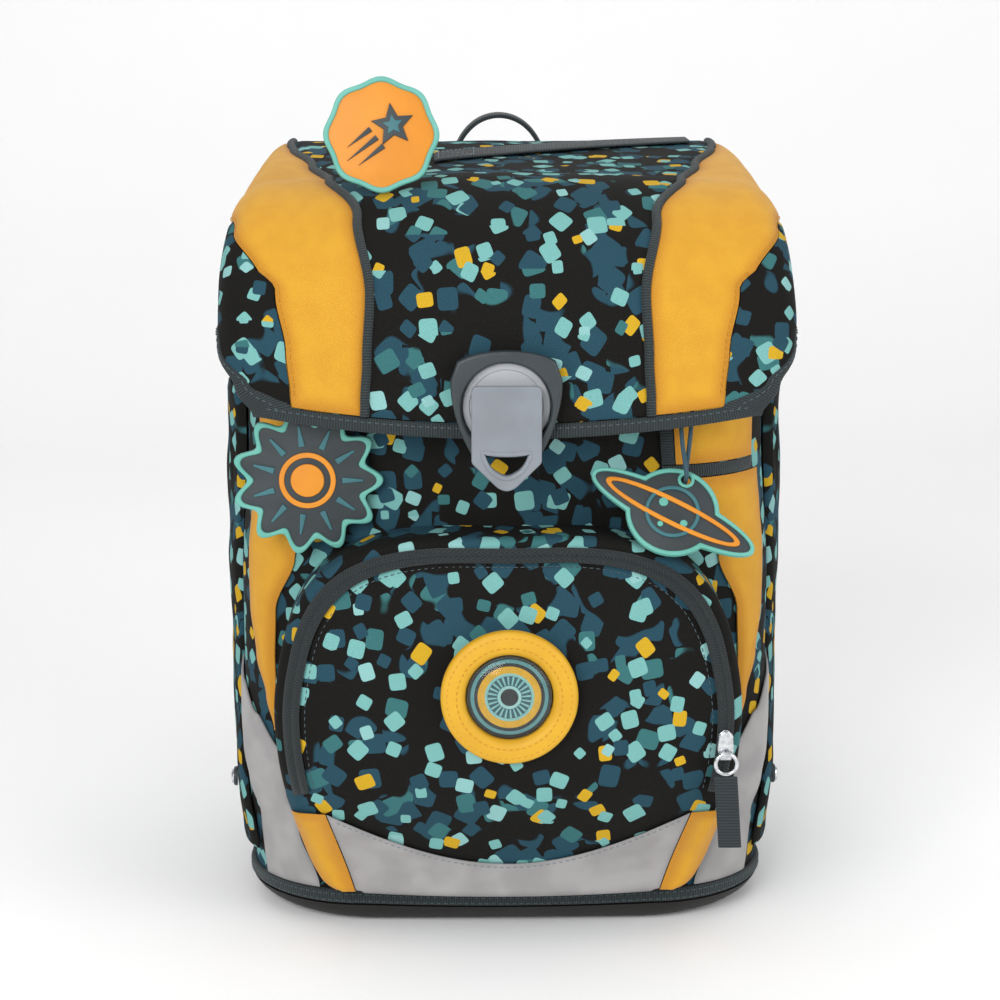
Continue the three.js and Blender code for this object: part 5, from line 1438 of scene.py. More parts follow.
STRIP_CORNERS = ((0, 0), (0, 1), (1, 0), (1, 1))


def strip_corners(point_at, rows):
    """Stations of four corners each, from a point function of row, column and layer"""
    return [tuple(point_at(row, column, layer) for column, layer in STRIP_CORNERS) for row in rows]


def even_rows(steps):
    return [step / steps for step in range(steps + 1)]


def build_binding():
    corner, places = binding_places()
    extra = (BINDING_THICKNESS - LID_THICKNESS) / 2
    corners = []
    for across, share in places:
        inner = binding_inward(across, share, corner, BINDING_WIDTH)
        corners.append((
            lid_point(across, share, -extra), lid_point(across, share, LID_THICKNESS + extra),
            lid_point(*inner, -extra), lid_point(*inner, LID_THICKNESS + extra),
        ))
    mesh = strip_mesh("lid_binding_tape", corners)
    to_object("lid_binding_tape", mesh, TAPE, ["lid_binding"])

    def place_at(share):
        across, along = places[min(len(places) - 1, round(share * (len(places) - 1)))]
        inner = binding_inward(across, along, corner, BINDING_WIDTH * 0.72)
        point = lid_point(*inner, LID_THICKNESS + extra)
        return point, (lid_point(*inner, LID_THICKNESS + 6) - point).normalized()
    row = stitch_row(place_at, len(places) - 1, *TAPE_STITCH)
    stitches("binding_stitches", [row], THREAD_DARK)


# The front pocket and what lies on it
def build_pocket():
    turns = 180
    edge = POCKET_EDGE_ROUND / POCKET_HALF_WIDTH
    inset = POCKET_WALL / POCKET_HALF_WIDTH

    def ring_at(grow, lift, root):
        ring = []
        for step in range(turns):
            share = step / turns
            turn = share * 2 if share <= 0.5 else (share - 1) * 2
            point = pocket_face(turn, grow, lift)
            flat = Vector((point.x, 0, point.z - POCKET_CENTRE))
            away = flat.normalized() if flat.length else flat
            back = front_surface(point.x, point.z).y - SKIN_LIFT
            depth = (back - point.y) * root
            point.y += depth
            if lift >= -POCKET_EDGE_ROUND and root == 0 and grow < 1:
                swell = noise.noise(point / 38) + 0.4 * noise.noise(point / 16)
                point.y -= 0.7 * swell
            ring.append((point, (point.x + away.x * depth + 700, point.z + away.z * depth)))
        return ring

    rings = [ring_at(1, -POCKET_EDGE_ROUND, root) for root in (1, 0.8, 0.6, 0.4, 0.2, 0)]
    for angle in (25, 50, 75):
        turned = math.radians(angle)
        grow = 1 - edge * (1 - math.cos(turned))
        rings.append(ring_at(grow, -POCKET_EDGE_ROUND * (1 - math.sin(turned)), 0))
    faces = [1 - edge - step * (1 - edge - 0.02) / 34 for step in range(35)]
    rings += [ring_at(grow, 0, 0) for grow in faces]
    rings += [ring_at(grow, -POCKET_WALL, 0) for grow in (0.02, 0.3, 0.6, 0.85, 1 - edge - inset)]
    rings += [ring_at(1 - inset, -POCKET_EDGE_ROUND - POCKET_WALL, 0)]
    rings += [ring_at(1 - inset, -POCKET_EDGE_ROUND, root) for root in (0.5, 1)]
    mesh = loft_mesh("pocket_cloth", rings, True)
    to_object("pocket_cloth", mesh, PRINT, ["front_pocket"])


def build_zip():
    edge = POCKET_EDGE_ROUND / POCKET_HALF_WIDTH
    length = 2 * ZIP_END * POCKET_HALF_ROUND

    def point_at(row, column, layer):
        turn = mix(-ZIP_END, ZIP_END, row)
        grow = 1 - edge + ZIP_SETOUT - column * ZIP_WIDTH / POCKET_HALF_WIDTH
        groove = 0.55 * math.exp(-((column - 0.5) / 0.07) ** 2) * layer
        return pocket_face(turn, grow, SKIN_LIFT + layer * ZIP_THICKNESS - groove)
    mesh = sheet_mesh(
        "zip_band", 240, 16, point_at,
        lambda row, column: ((column - 0.5) * ZIP_WIDTH, row * length), seam=0.3, hem=1.2,
    )
    to_object("zip_band", mesh, ZIP_TAPE, ["pocket_zip"])

    def place_at(share):
        turn = mix(-ZIP_END, ZIP_END, share)
        grow = 1 - edge + ZIP_SETOUT - (ZIP_WIDTH + 2.5) / POCKET_HALF_WIDTH
        point = pocket_face(turn, grow, 0.2)
        return point, FORWARD
    stitches("zip_stitches", [stitch_row(place_at, 240, *ZIP_STITCH)], THREAD_DARK)


def pocket_side(z):
    """Half the pocket's width at a height of its lower half"""
    turn = falling_to(z, lambda turn: pocket_outline(turn, 1.0)[1], POCKET_SIDE_TURN, 1.0, 20)
    return pocket_outline(turn, 1.0)[0]


def pocket_wrap(x, z, lift):
    """A point on the pocket's lower face that follows its rounded edge"""
    side = pocket_side(max(z, POCKET_BOTTOM + 0.4))
    inside = max(0.0, min(side - abs(x), z - POCKET_BOTTOM))
    radius = POCKET_EDGE_ROUND
    past = max(0.0, 1 - inside / radius)
    drop = radius * (1 - math.sqrt(max(0.0, 1 - past * past)))
    return pocket_front(x, z, lift - drop)


def pocket_band_half(z):
    foot = POCKET_BOTTOM + POCKET_EDGE_ROUND
    return mix(CENTRE_HALF_FOOT, CENTRE_HALF_TOP, (z - foot) / (CENTRE_TOP_SIDE - foot))


def build_lower_panels():
    def centre(row, column):
        share = column * 2 - 1
        z = mix(POCKET_BOTTOM + 0.6, mix(CENTRE_TOP_MIDDLE, CENTRE_TOP_SIDE, share * share), row)
        return share * pocket_band_half(z), z

    def centre_point(row, column, layer):
        return pocket_wrap(*centre(row, column), SKIN_LIFT + layer * SKIN)
    mesh = sheet_mesh("grey_centre", 20, 90, centre_point, centre, wave=0.4, wave_size=30)
    to_object("grey_centre", mesh, GREY, ["reflective_panel_centre"])

    def top_edge(share):
        x, z = centre(1.0, 0.02 + 0.96 * share)
        return pocket_front(x, z - STITCH_INSET, SKIN_LIFT + SKIN), FORWARD
    stitches("grey_stitches", [stitch_row(top_edge, 160, *GREY_STITCH)], THREAD_GREY)

    for side, name in ((-1, "left"), (1, "right")):
        def strip(row, column):
            z = mix(POCKET_BOTTOM + 0.6, CENTRE_TOP_SIDE, row)
            inner = pocket_band_half(z) + SEAM_GAP
            outer = max(inner + STRIP_WIDTH * 0.8, pocket_side(z) - 0.6)
            return side * mix(inner, min(outer, inner + STRIP_WIDTH + STRIP_SWELL * 2), column), z

        def strip_point(row, column, layer):
            fold = 1.6 * math.exp(-((column - 0.55 - 0.15 * row) / 0.16) ** 2) * (0.4 + 0.6 * row) * layer
            return pocket_wrap(*strip(row, column), SKIN_LIFT + layer * SKIN + fold)
        mesh = sheet_mesh(f"strip_{name}", 40, 18, strip_point, strip, hem=2.5, wave=0.7, wave_size=14)
        to_object(f"strip_{name}", mesh, YELLOW, [f"yellow_strip_{name}"])


def build_lens():
    heights = [LENS_UP + share * LENS_RING_RADIUS for share in (-0.9, 0, 0.9)]
    back = min(pocket_front(LENS_ACROSS, height, -GAP).y for height in heights)
    inner = LENS_RADIUS + GAP
    top = LENS_RING_HEIGHT
    outer = LENS_RING_RADIUS
    profile = [(inner, 0), (outer - 0.6, 0), (outer, 0.7), (outer, top * 0.5)]
    for angle in (20, 40, 60, 80):
        turned = math.radians(angle)
        profile.append((outer - 3.2 * (1 - math.cos(turned)), top * 0.5 + (top * 0.42) * math.sin(turned)))
    profile += [
        (outer * 0.82, top), (inner + 5.0, top), (inner + 3.0, top * 0.95), (inner + 1.4, top * 0.8),
        (inner + 0.4, top * 0.55), (inner, top * 0.4), (inner, 0),
    ]
    ring = place_mesh(lathe_mesh("lens_surround", profile, 128), LENS_ACROSS, back, LENS_UP)
    to_object("lens_surround", ring, RING, ["lens_ring"])
    disc = place_mesh(lathe_mesh("lens_target", (
        (0, 0), (LENS_RADIUS, 0), (LENS_RADIUS, 1.0), (LENS_RADIUS - 0.2, 1.2), (0, 1.2),
    ), 96), LENS_ACROSS, back, LENS_UP)
    to_object("lens_target", disc, LENS_PRINT, ["lens_disc"])
    dome = [(0, 1.6), (LENS_RADIUS, 1.6)]
    for step in range(1, 24):
        share = 1 - step / 24
        dome.append((LENS_RADIUS * share ** 0.5, 1.6 + LENS_DOME * math.sqrt(1 - share * 0.9)))
    dome.append((0, 1.6 + LENS_DOME))
    glass = place_mesh(lathe_mesh("lens_dome", dome, 96), LENS_ACROSS, back, LENS_UP)
    to_object("lens_dome", glass, CLEAR, ["lens"])
    rows = []
    for radius, high in ((outer - 3.0, top * 0.9), (inner + 4.2, top * 0.985)):
        def place_at(share, radius=radius, high=high):
            angle = share * math.tau
            x, z = radius * math.cos(angle), radius * math.sin(angle)
            return Vector((LENS_ACROSS + x, back - high, LENS_UP + z)), FORWARD
        rows.append(stitch_row(place_at, 180, *RING_STITCH))
    stitches("lens_stitches", rows, THREAD_YELLOW)


# The buckle
def bezier(start, first, second, end, steps=14):
    points = []
    for step in range(steps):
        t = step / steps
        a, b, c, d = (1 - t) ** 3, 3 * t * (1 - t) ** 2, 3 * t * t * (1 - t), t ** 3
        points.append(tuple(a * p + b * q + c * r + d * s for p, q, r, s in zip(start, first, second, end)))
    return points


def quadratic(start, control, end, shares):
    """Points of a curve from start to end that leans towards its control point"""
    return [
        tuple((1 - t) ** 2 * p + 2 * t * (1 - t) * q + t * t * r for p, q, r in zip(start, control, end))
        for t in shares
    ]


def shield_outline():
    half = BUCKLE_WIDTH / 2
    tall = BUCKLE_HEIGHT
    side = bezier((-0.60 * half, -0.5 * tall), (-0.9 * half, -0.25 * tall), (-1.02 * half, 0.05 * tall),
                  (-half, 0.22 * tall))
    top = bezier((-0.88 * half, 0.39 * tall), (-0.5 * half, 0.52 * tall), (0.5 * half, 0.52 * tall),
                 (0.88 * half, 0.39 * tall))
    other = bezier((half, 0.22 * tall), (1.02 * half, 0.05 * tall), (0.9 * half, -0.25 * tall),
                   (0.60 * half, -0.5 * tall))
    upper_left = (-half, 0.22 * tall)
    upper_right = (0.88 * half, 0.39 * tall)
    lower_right = (0.60 * half, -0.5 * tall)
    return [*side, upper_left, *top, upper_right, *other, lower_right]


def circle_outline(radius, count=96, x=0.0, y=0.0):
    return [(x + radius * math.cos(step / count * math.tau), y + radius * math.sin(step / count * math.tau))
            for step in range(count)]


def lever_outline():
    half = LEVER_WIDTH / 2
    shoulder = -LEVER_LENGTH * 0.68
    tip = -LEVER_LENGTH * 0.94
    corner = LEVER_CORNER
    points = []
    for start, control, end in (
        ((-half, shoulder + 1), (-half, shoulder), (-half + 0.8, shoulder - 1)),
        ((-half * 0.33, tip), (0, -LEVER_LENGTH * 1.06), (half * 0.33, tip)),
        ((half - 0.8, shoulder - 1), (half, shoulder), (half, shoulder + 1)),
        ((half, corner), (half, corner * 2), (half - corner, corner * 2)),
        ((corner - half, corner * 2), (-half, corner * 2), (-half, corner)),
    ):
        points += quadratic(start, control, end, even_rows(8))
    return points


def slot_outline(grow=0.0):
    top = -LEVER_LENGTH + SLOT_ABOVE_TIP + SLOT_HEIGHT + grow
    half = SLOT_WIDTH / 2 + grow
    low = top - SLOT_HEIGHT * 0.85 - grow * 2
    points = []
    for start, control, end in (
        ((-half, top), (0, top - 2), (half, top)),
        ((half, top), (half * 0.8, low + 2), (half * 0.35, low)),
        ((half * 0.35, low), (0, low - SLOT_HEIGHT * 0.25), (-half * 0.35, low)),
        ((-half * 0.35, low), (-half * 0.8, low + 2), (-half, top)),
    ):
        points += quadratic(start, control, end, even_rows(10)[:-1])
    return points


def build_buckle():
    seat = lid_point(0, 1, LID_THICKNESS + (BINDING_THICKNESS - LID_THICKNESS) / 2).y - LID_CROWN * 0.08
    middle = seat - BUCKLE_THICKNESS / 2
    hole = circle_outline(DISC_RADIUS + GAP, y=-DISC_DROP)
    frame_plate = plate_mesh("buckle_surround", [shield_outline(), hole], BUCKLE_THICKNESS, 1.3, 4)
    place_mesh(frame_plate, BUCKLE_ACROSS, middle, BUCKLE_UP)
    to_object("buckle_surround", frame_plate, FRAME, ["buckle_frame"])
    disc = lathe_mesh("buckle_dial", (
        (0, 0), (DISC_RADIUS, 0), (DISC_RADIUS, DISC_THICKNESS - 0.5),
        (DISC_RADIUS - 0.5, DISC_THICKNESS), (DISC_RADIUS - 3.0, DISC_THICKNESS),
        (DISC_RADIUS - 3.6, DISC_THICKNESS - 0.5), (0, DISC_THICKNESS - 0.5),
    ), 128)
    place_mesh(disc, BUCKLE_ACROSS, seat, BUCKLE_UP - DISC_DROP)
    to_object("buckle_dial", disc, LIGHTENED_DIAL, ["buckle_disc"])
    hinge = BUCKLE_UP + LEVER_HINGE_ABOVE
    face = seat - BUCKLE_THICKNESS - GAP
    plate = plate_mesh("lever_plate", [lever_outline(), slot_outline()], LEVER_THICKNESS, 0.8, 4)
    place_mesh(plate, BUCKLE_ACROSS, face - LEVER_THICKNESS / 2, hinge)
    to_object("lever_plate", plate, PLATE, ["buckle_lever"], LEVER)
    rim = [Vector((BUCKLE_ACROSS + x, face - LEVER_THICKNESS, hinge + y)) for x, y in slot_outline(1.3)]
    mesh = tube_mesh("lever_rim", rim, [FORWARD] * len(rim), 1.0, 10, True, 0.5)
    to_object("lever_rim", mesh, PLATE, ["buckle_lever"], LEVER)


# Webbing on the lid and at the back
def top_strap_point(row, column, layer):
    across = mix(TOP_STRAP_LEFT, TOP_STRAP_RIGHT, row)
    middle = mix(TOP_STRAP_LEFT_SETBACK, TOP_STRAP_RIGHT_SETBACK, row ** 0.8)
    along = (middle + (column - 0.5) * WEBBING_WIDTH) / LID_LENGTH
    return lid_point(across, along, LID_THICKNESS + SKIN_LIFT + layer * WEBBING_THICKNESS)


def build_top_strap():
    mesh = strip_mesh("top_webbing", strip_corners(top_strap_point, even_rows(60)), 20, 0.25)
    to_object("top_webbing", mesh, WEBBING, ["top_strap"])

    def box(share):
        sides = ((0.015, 0.12), (0.015, 0.88), (0.15, 0.88), (0.15, 0.12), (0.015, 0.12), (0.15, 0.88))
        place = share * (len(sides) - 1)
        index = min(int(place), len(sides) - 2)
        row = mix(sides[index][0], sides[index + 1][0], place - index)
        column = mix(sides[index][1], sides[index + 1][1], place - index)
        return top_strap_point(row, column, 1.1), Vector((0, 0, 1))
    stitches("top_stitches", [stitch_row(box, 200, *STRAP_STITCH)], THREAD_GREY)


def build_handle():
    half = HANDLE_SPAN / 2
    foot = BODY_HEIGHT - LID_SLOPE - LID_STAND_OFF - HANDLE_FOOT
    rise = LID_TOP + HANDLE_RISE - foot

    def handle_point(row, column, layer):
        turn = math.pi * row
        grow = layer * HANDLE_THICKNESS
        x = -math.cos(turn) * (half + grow)
        z = foot + max(0.0, math.sin(turn)) ** 0.6 * (rise + grow)
        return Vector((x + HANDLE_ACROSS, BACK_PLANE + GAP + column * WEBBING_WIDTH, z))
    rows = [(1 - math.cos(math.pi * step / 120)) / 2 for step in range(121)]
    mesh = strip_mesh("grab_loop", strip_corners(handle_point, rows), 20, 0.3)
    to_object("grab_loop", mesh, WEBBING, ["grab_handle"])


def pad_thickness(across, up):
    return BACK_PAD_THICKNESS * (0.35 + 0.65 * (1 - abs(across) ** 6) * (1 - abs(up) ** 8))


def pad_seat(x, z):
    up = (z - BACK_PAD_BOTTOM) / BACK_PAD_HEIGHT * 2 - 1
    return BACK_PLANE + GAP + pad_thickness(x / BACK_PAD_HALF_WIDTH, up)


def strap_path(share):
    top = pad_seat(STRAP_TOP_SPREAD, STRAP_TOP)
    bottom = pad_seat(STRAP_BOTTOM_SPREAD, STRAP_BOTTOM)
    bow = max(0.0, math.sin(math.pi * min(1, share))) ** 0.75
    rise = STRAP_RISE * math.sin(math.pi * share) ** 2 * (1 - share)
    return Vector((
        mix(STRAP_TOP_SPREAD, STRAP_BOTTOM_SPREAD, share ** 1.4),
        mix(top, bottom, share) + STRAP_STAND_OFF * bow,
        mix(STRAP_TOP, STRAP_BOTTOM, share) + rise,
    ))


def strap_place(side, share, width, column, out):
    here = strap_path(share)
    ahead = strap_path(min(1, share + 0.01))
    behind = strap_path(max(0, share - 0.01))
    run = math.hypot(ahead.y - behind.y, ahead.z - behind.z)
    along_y, along_z = (ahead.y - behind.y) / run, (ahead.z - behind.z) / run
    crown = 1 - 0.5 * abs(column * 2 - 1) ** 4
    x = here.x + (column - 0.5) * width
    return Vector((side * x, here.y - along_y * out * crown, here.z + along_z * out * crown))


def padded_piece(name, mesh, seed, remesh, thin):
    """Cloth blown up a little from a shape made slightly smaller, its moves capped"""
    piece = add_object(name, mesh)
    bpy.context.view_layer.objects.active = piece
    fine = piece.modifiers.new("fine", "REMESH")
    fine.mode = "VOXEL"
    fine.voxel_size = remesh * MM
    graph = bpy.context.evaluated_depsgraph_get()
    dense = bpy.data.meshes.new_from_object(piece.evaluated_get(graph))
    piece.modifiers.clear()
    piece.data = dense
    work = bmesh.new()
    work.from_mesh(dense)
    work.normal_update()
    chance = random.Random(seed)
    for vertex in work.verts:
        vertex.co -= vertex.normal * thin * MM * (0.8 + 0.4 * chance.random())
    work.to_mesh(dense)
    work.free()
    start = [vertex.co.copy() for vertex in dense.vertices]
    cloth = piece.modifiers.new("cloth", "CLOTH")
    cloth.settings.use_pressure = True
    cloth.settings.uniform_pressure_force = 4
    cloth.settings.quality = 4
    cloth.settings.mass = 0.2
    cloth.settings.effector_weights.gravity = 0
    cloth.settings.tension_stiffness = 25
    cloth.settings.bending_stiffness = 0.6
    for frame_number in range(1, 21):
        bpy.context.scene.frame_set(frame_number)
    graph = bpy.context.evaluated_depsgraph_get()
    blown = bpy.data.meshes.new_from_object(piece.evaluated_get(graph))
    piece.modifiers.clear()
    limit = 4.0 * MM
    for vertex, was in zip(blown.vertices, start):
        move = vertex.co - was
        if move.length > limit:
            vertex.co = was + move.normalized() * limit
    piece.data = blown
    bpy.context.scene.frame_set(1)
    smoother = piece.modifiers.new("smoother", "SUBSURF")
    smoother.levels = 1
    smoother.render_levels = 1
    shade_smooth(piece.data)
    return piece


def finish_padding(piece, nodes):
    piece.data.materials.clear()
    piece.data.materials.append(PADDING)
    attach(piece, BAG)
    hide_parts(*nodes)


def build_back_pad():
    def point_at(row, column, layer):
        across, up = column * 2 - 1, row * 2 - 1
        corner = 1 - 0.10 * abs(up) ** 6
        quilt = 2.0 * (abs(math.sin(math.pi * 2.5 * across)) ** 0.5 - 1) if layer else 0
        return Vector((
            across * corner * BACK_PAD_HALF_WIDTH,
            BACK_PLANE + GAP + layer * (pad_thickness(across, up) + quilt * (1 - abs(across) ** 4)),
            BACK_PAD_BOTTOM + row * BACK_PAD_HEIGHT,
        ))

    def uv_at(row, column):
        return column * BACK_PAD_HALF_WIDTH * 2, row * BACK_PAD_HEIGHT
    mesh = sheet_mesh("back_cushion", 60, 48, point_at, uv_at)
    finish_padding(padded_piece("back_cushion", mesh, 11, 5, 1.0), ["back_pad"])


def build_straps():
    for side, name in ((-1, "left"), (1, "right")):
        def point_at(row, column, layer):
            width = STRAP_WIDTH * (1 - 0.3 * row ** 3)
            return strap_place(side, row * STRAP_JOIN, width, column, layer * STRAP_THICKNESS)

        def uv_at(row, column):
            return column * STRAP_WIDTH, row * STRAP_CLOTH_LENGTH
        mesh = sheet_mesh(f"strap_cushion_{name}", 70, 16, point_at, uv_at)
        cushion = padded_piece(f"strap_cushion_{name}", mesh, 20 + side, 4, 0.8)
        finish_padding(cushion, [f"shoulder_strap_{name}"])

        def webbing_point(row, column, layer):
            share = mix(STRAP_JOIN - 0.01, 1, row)
            return strap_place(side, share, WEBBING_WIDTH, column, layer * WEBBING_THICKNESS * 1.5)
        webbing = strip_mesh(f"webbing_{name}", strip_corners(webbing_point, even_rows(60)), 16, 0.3)
        to_object(f"webbing_{name}", webbing, WEBBING, [f"strap_webbing_{name}"])


# Badges
def round_outline(count, radius_at):
    outline = []
    for step in range(count):
        angle = step / count * math.tau
        radius = radius_at(angle)
        outline.append((radius * math.cos(angle), radius * math.sin(angle)))
    return outline


def ellipse_outline(long, short, tilt, count=120):
    points = []
    for step in range(count):
        angle = step / count * math.tau
        x, y = long * math.cos(angle), short * math.sin(angle)
        points.append((x * math.cos(tilt) - y * math.sin(tilt), x * math.sin(tilt) + y * math.cos(tilt)))
    return points


def star_outline(points, outer, inner, x=0.0, y=0.0, turn=0.0):
    outline = []
    for step in range(points * 2):
        angle = turn + step / (points * 2) * math.tau
        radius = outer if step % 2 == 0 else inner
        outline.append((x + radius * math.cos(angle), y + radius * math.sin(angle)))
    return outline


def relief(name, outlines, low, high, seat, material, nodes, bevel=0.35):
    """One raised part of a badge: between two heights over the badge's back"""
    mesh = plate_mesh(name, outlines, high - low, bevel, 2)
    mesh.transform(Matrix.Translation(Vector((0, 0, (low + high) / 2)) * MM))
    x, y, z, lean = seat
    place_mesh(mesh, x, y, z, lean)
    return to_object(name, mesh, material, nodes)


def burst_outline(middle):
    """The sun burst's wavy round, where middle is the share of the badge's radius it waves about"""
    return round_outline(264, lambda angle: LEFT_BADGE_RADIUS * (middle + 0.1 * math.cos(angle * BURST_RAYS)))


def build_left_badge():
    y = body_point(LEFT_BADGE_ACROSS + LEFT_BADGE_RADIUS, LEFT_BADGE_UP, 0).y - SKIN - GAP * 2 - 0.6
    seat = (LEFT_BADGE_ACROSS, y, LEFT_BADGE_UP, 0.0)
    burst, inside, face = (burst_outline(middle) for middle in (0.9, 0.81, 0.83))
    nodes = ["left_badge"]
    relief("sun_face", [face], 0, 2.4, seat, DARK_RUBBER, nodes)
    relief("sun_rim", [burst, inside], 0, BADGE_THICKNESS, seat, MINT_RUBBER, nodes, 0.8)
    ring = [circle_outline(13.5), circle_outline(11.0)]
    relief("sun_ring", ring, 2, 3.2, seat, ORANGE_RUBBER, nodes)
    relief("sun_middle", [circle_outline(8.0)], 2, 3.4, seat, ORANGE_RUBBER, nodes, 0.6)
    for step in range(BURST_RAYS):
        angle = step / BURST_RAYS * math.tau
        ray = [(16.5, -1.5), (26.5, -0.5), (26.5, 0.5), (16.5, 1.5)]
        turned = [(x * math.cos(angle) - y_ * math.sin(angle), x * math.sin(angle) + y_ * math.cos(angle))
                  for x, y_ in ray]
        relief(f"sun_ray_{step}", [turned], 2, 3.1, seat, TEAL_RUBBER, nodes, 0.25)


def pendant_radius(angle, grow):
    turned = angle - PENDANT_TILT
    long, short = PENDANT_LENGTH / 2 + grow, PENDANT_RING_HEIGHT / 2 + grow
    ring = long * short / math.hypot(short * math.cos(turned), long * math.sin(turned))
    return max(ring, PENDANT_HEIGHT / 2 + grow)


def build_pendant():
    y = body_point(PENDANT_ACROSS - PENDANT_LENGTH / 2, PENDANT_UP, 0).y - PENDANT_FORWARD
    seat = (PENDANT_ACROSS, y, PENDANT_UP, PENDANT_LEAN)
    nodes = ["pendant_badge"]
    outer = round_outline(200, lambda angle: pendant_radius(angle, 0))
    inner = round_outline(200, lambda angle: pendant_radius(angle, -2.2))
    face = round_outline(200, lambda angle: pendant_radius(angle, -1.6))
    hole = circle_outline(PENDANT_EYELET_RADIUS, 40, EYELET_ASIDE, EYELET_ABOVE)
    relief("planet_face", [face, hole], 0, 2.3, seat, DARK_RUBBER, nodes)
    relief("planet_rim", [outer, inner], 0, BADGE_THICKNESS, seat, MINT_RUBBER, nodes, 0.8)
    ball = circle_outline(13.0)
    relief("planet_ball", [ball, circle_outline(11.2)], 2, 3.2, seat, TEAL_RUBBER, nodes)
    ring = ellipse_outline(35, 6.6, PENDANT_TILT)
    gap = ellipse_outline(32, 4.4, PENDANT_TILT)
    relief("planet_ring", [ring, gap], 2, 3.3, seat, ORANGE_RUBBER, nodes)
    for number, (x, z, size) in enumerate(((-4, 5, 2.2), (5, -6, 1.8), (-6, -6, 1.4))):
        spot = [circle_outline(size, 32, x, z)]
        relief(f"planet_spot_{number}", spot, 2, 3.0, seat, MINT_RUBBER, nodes)
    eyelet = [circle_outline(PENDANT_EYELET_RADIUS + 1.6, 40, EYELET_ASIDE, EYELET_ABOVE), hole]
    relief("planet_eyelet", eyelet, 0, 3.2, seat, MINT_RUBBER, nodes, 0.5)
    return y


def build_top_badge():
    place = lid_point(TOP_BADGE_ACROSS, TOP_BADGE_ALONG, LID_THICKNESS)
    seat = (place.x, place.y, place.z + 0.6, TOP_BADGE_LEAN)
    nodes = ["top_badge"]
    up = TOP_BADGE_RADIUS

    def outline(grow):
        return [(x, z + up) for x, z in round_outline(
            160, lambda angle: (TOP_BADGE_RADIUS + grow) * (0.97 + 0.03 * math.cos(angle * 8)))]
    relief("comet_face", [outline(-1.8)], 0, 2.4, seat, ORANGE_RUBBER, nodes)
    rim = [outline(0), outline(-2.6)]
    relief("comet_rim", rim, 0, BADGE_THICKNESS, seat, MINT_RUBBER, nodes, 0.8)
    star = star_outline(5, 10.5, 4.8, 5.5, up + 4.5, 0.45)
    relief("comet_star", [star], 2, 3.4, seat, DARK_RUBBER, nodes, 0.4)
    heart = star_outline(5, 5.0, 2.4, 5.5, up + 4.5, 0.45)
    relief("comet_heart", [heart], 3, 3.8, seat, TEAL_RUBBER, nodes, 0.25)
    for number, (reach, offset) in enumerate(((15, 5.0), (18, 0.0), (14, -5.0))):
        angle = math.radians(218)
        start = 9.5
        aside = Vector((-math.sin(angle), math.cos(angle)))
        ahead = Vector((math.cos(angle), math.sin(angle)))
        base = Vector((5.5, up + 4.5)) + aside * offset
        near = base + ahead * start
        tail = [near + aside * 1.3, base + ahead * (start + reach), near - aside * 1.3]
        relief(f"comet_tail_{number}", [[tuple(point) for point in tail]], 2, 3.1, seat, DARK_RUBBER,
               nodes, 0.2)


def build_cord(pendant_y):
    eye = Vector((
        PENDANT_ACROSS + EYELET_ASIDE,
        pendant_y + EYELET_ABOVE * math.sin(PENDANT_LEAN),
        PENDANT_UP + EYELET_ABOVE * math.cos(PENDANT_LEAN),
    ))
    seat_lift = SKIN_LIFT + SKIN + GAP + CORD_DIAMETER / 2
    knots = []
    for row in CORD_ROUTE:
        place = eye + Vector((row["aside"], row["forward"], row["above"]))
        if row["seated"]:
            place.y = body_point(place.x, place.z, seat_lift).y
        knots.append(place)
    path = [catmull_rom(knots, step / 96) for step in range(97)]
    curve = bpy.data.curves.new("badge_cord", "CURVE")
    curve.dimensions = "3D"
    curve.bevel_depth = CORD_DIAMETER / 2 * MM
    curve.bevel_resolution = 4
    curve.use_fill_caps = True
    spline = curve.splines.new("POLY")
    spline.points.add(len(path) - 1)
    for point, place in zip(spline.points, path):
        point.co = (*(place * MM), 1)
    curve.materials.append(CORD_CLOTH)
    piece = add_object("badge_cord", curve)
    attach(piece, BAG)
    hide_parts("pendant_cord")
    length = spread(path)[-1]


# The zip's slider, ring and tab
def zip_middle(z, lift):
    grow = 1 - (POCKET_EDGE_ROUND + ZIP_WIDTH / 2) / POCKET_HALF_WIDTH + ZIP_SETOUT
    turn = falling_to(z, lambda turn: pocket_face(turn, grow, 0).z, 0.3, ZIP_END, 24)
    return pocket_face(turn, grow, SKIN_LIFT + ZIP_THICKNESS + lift)


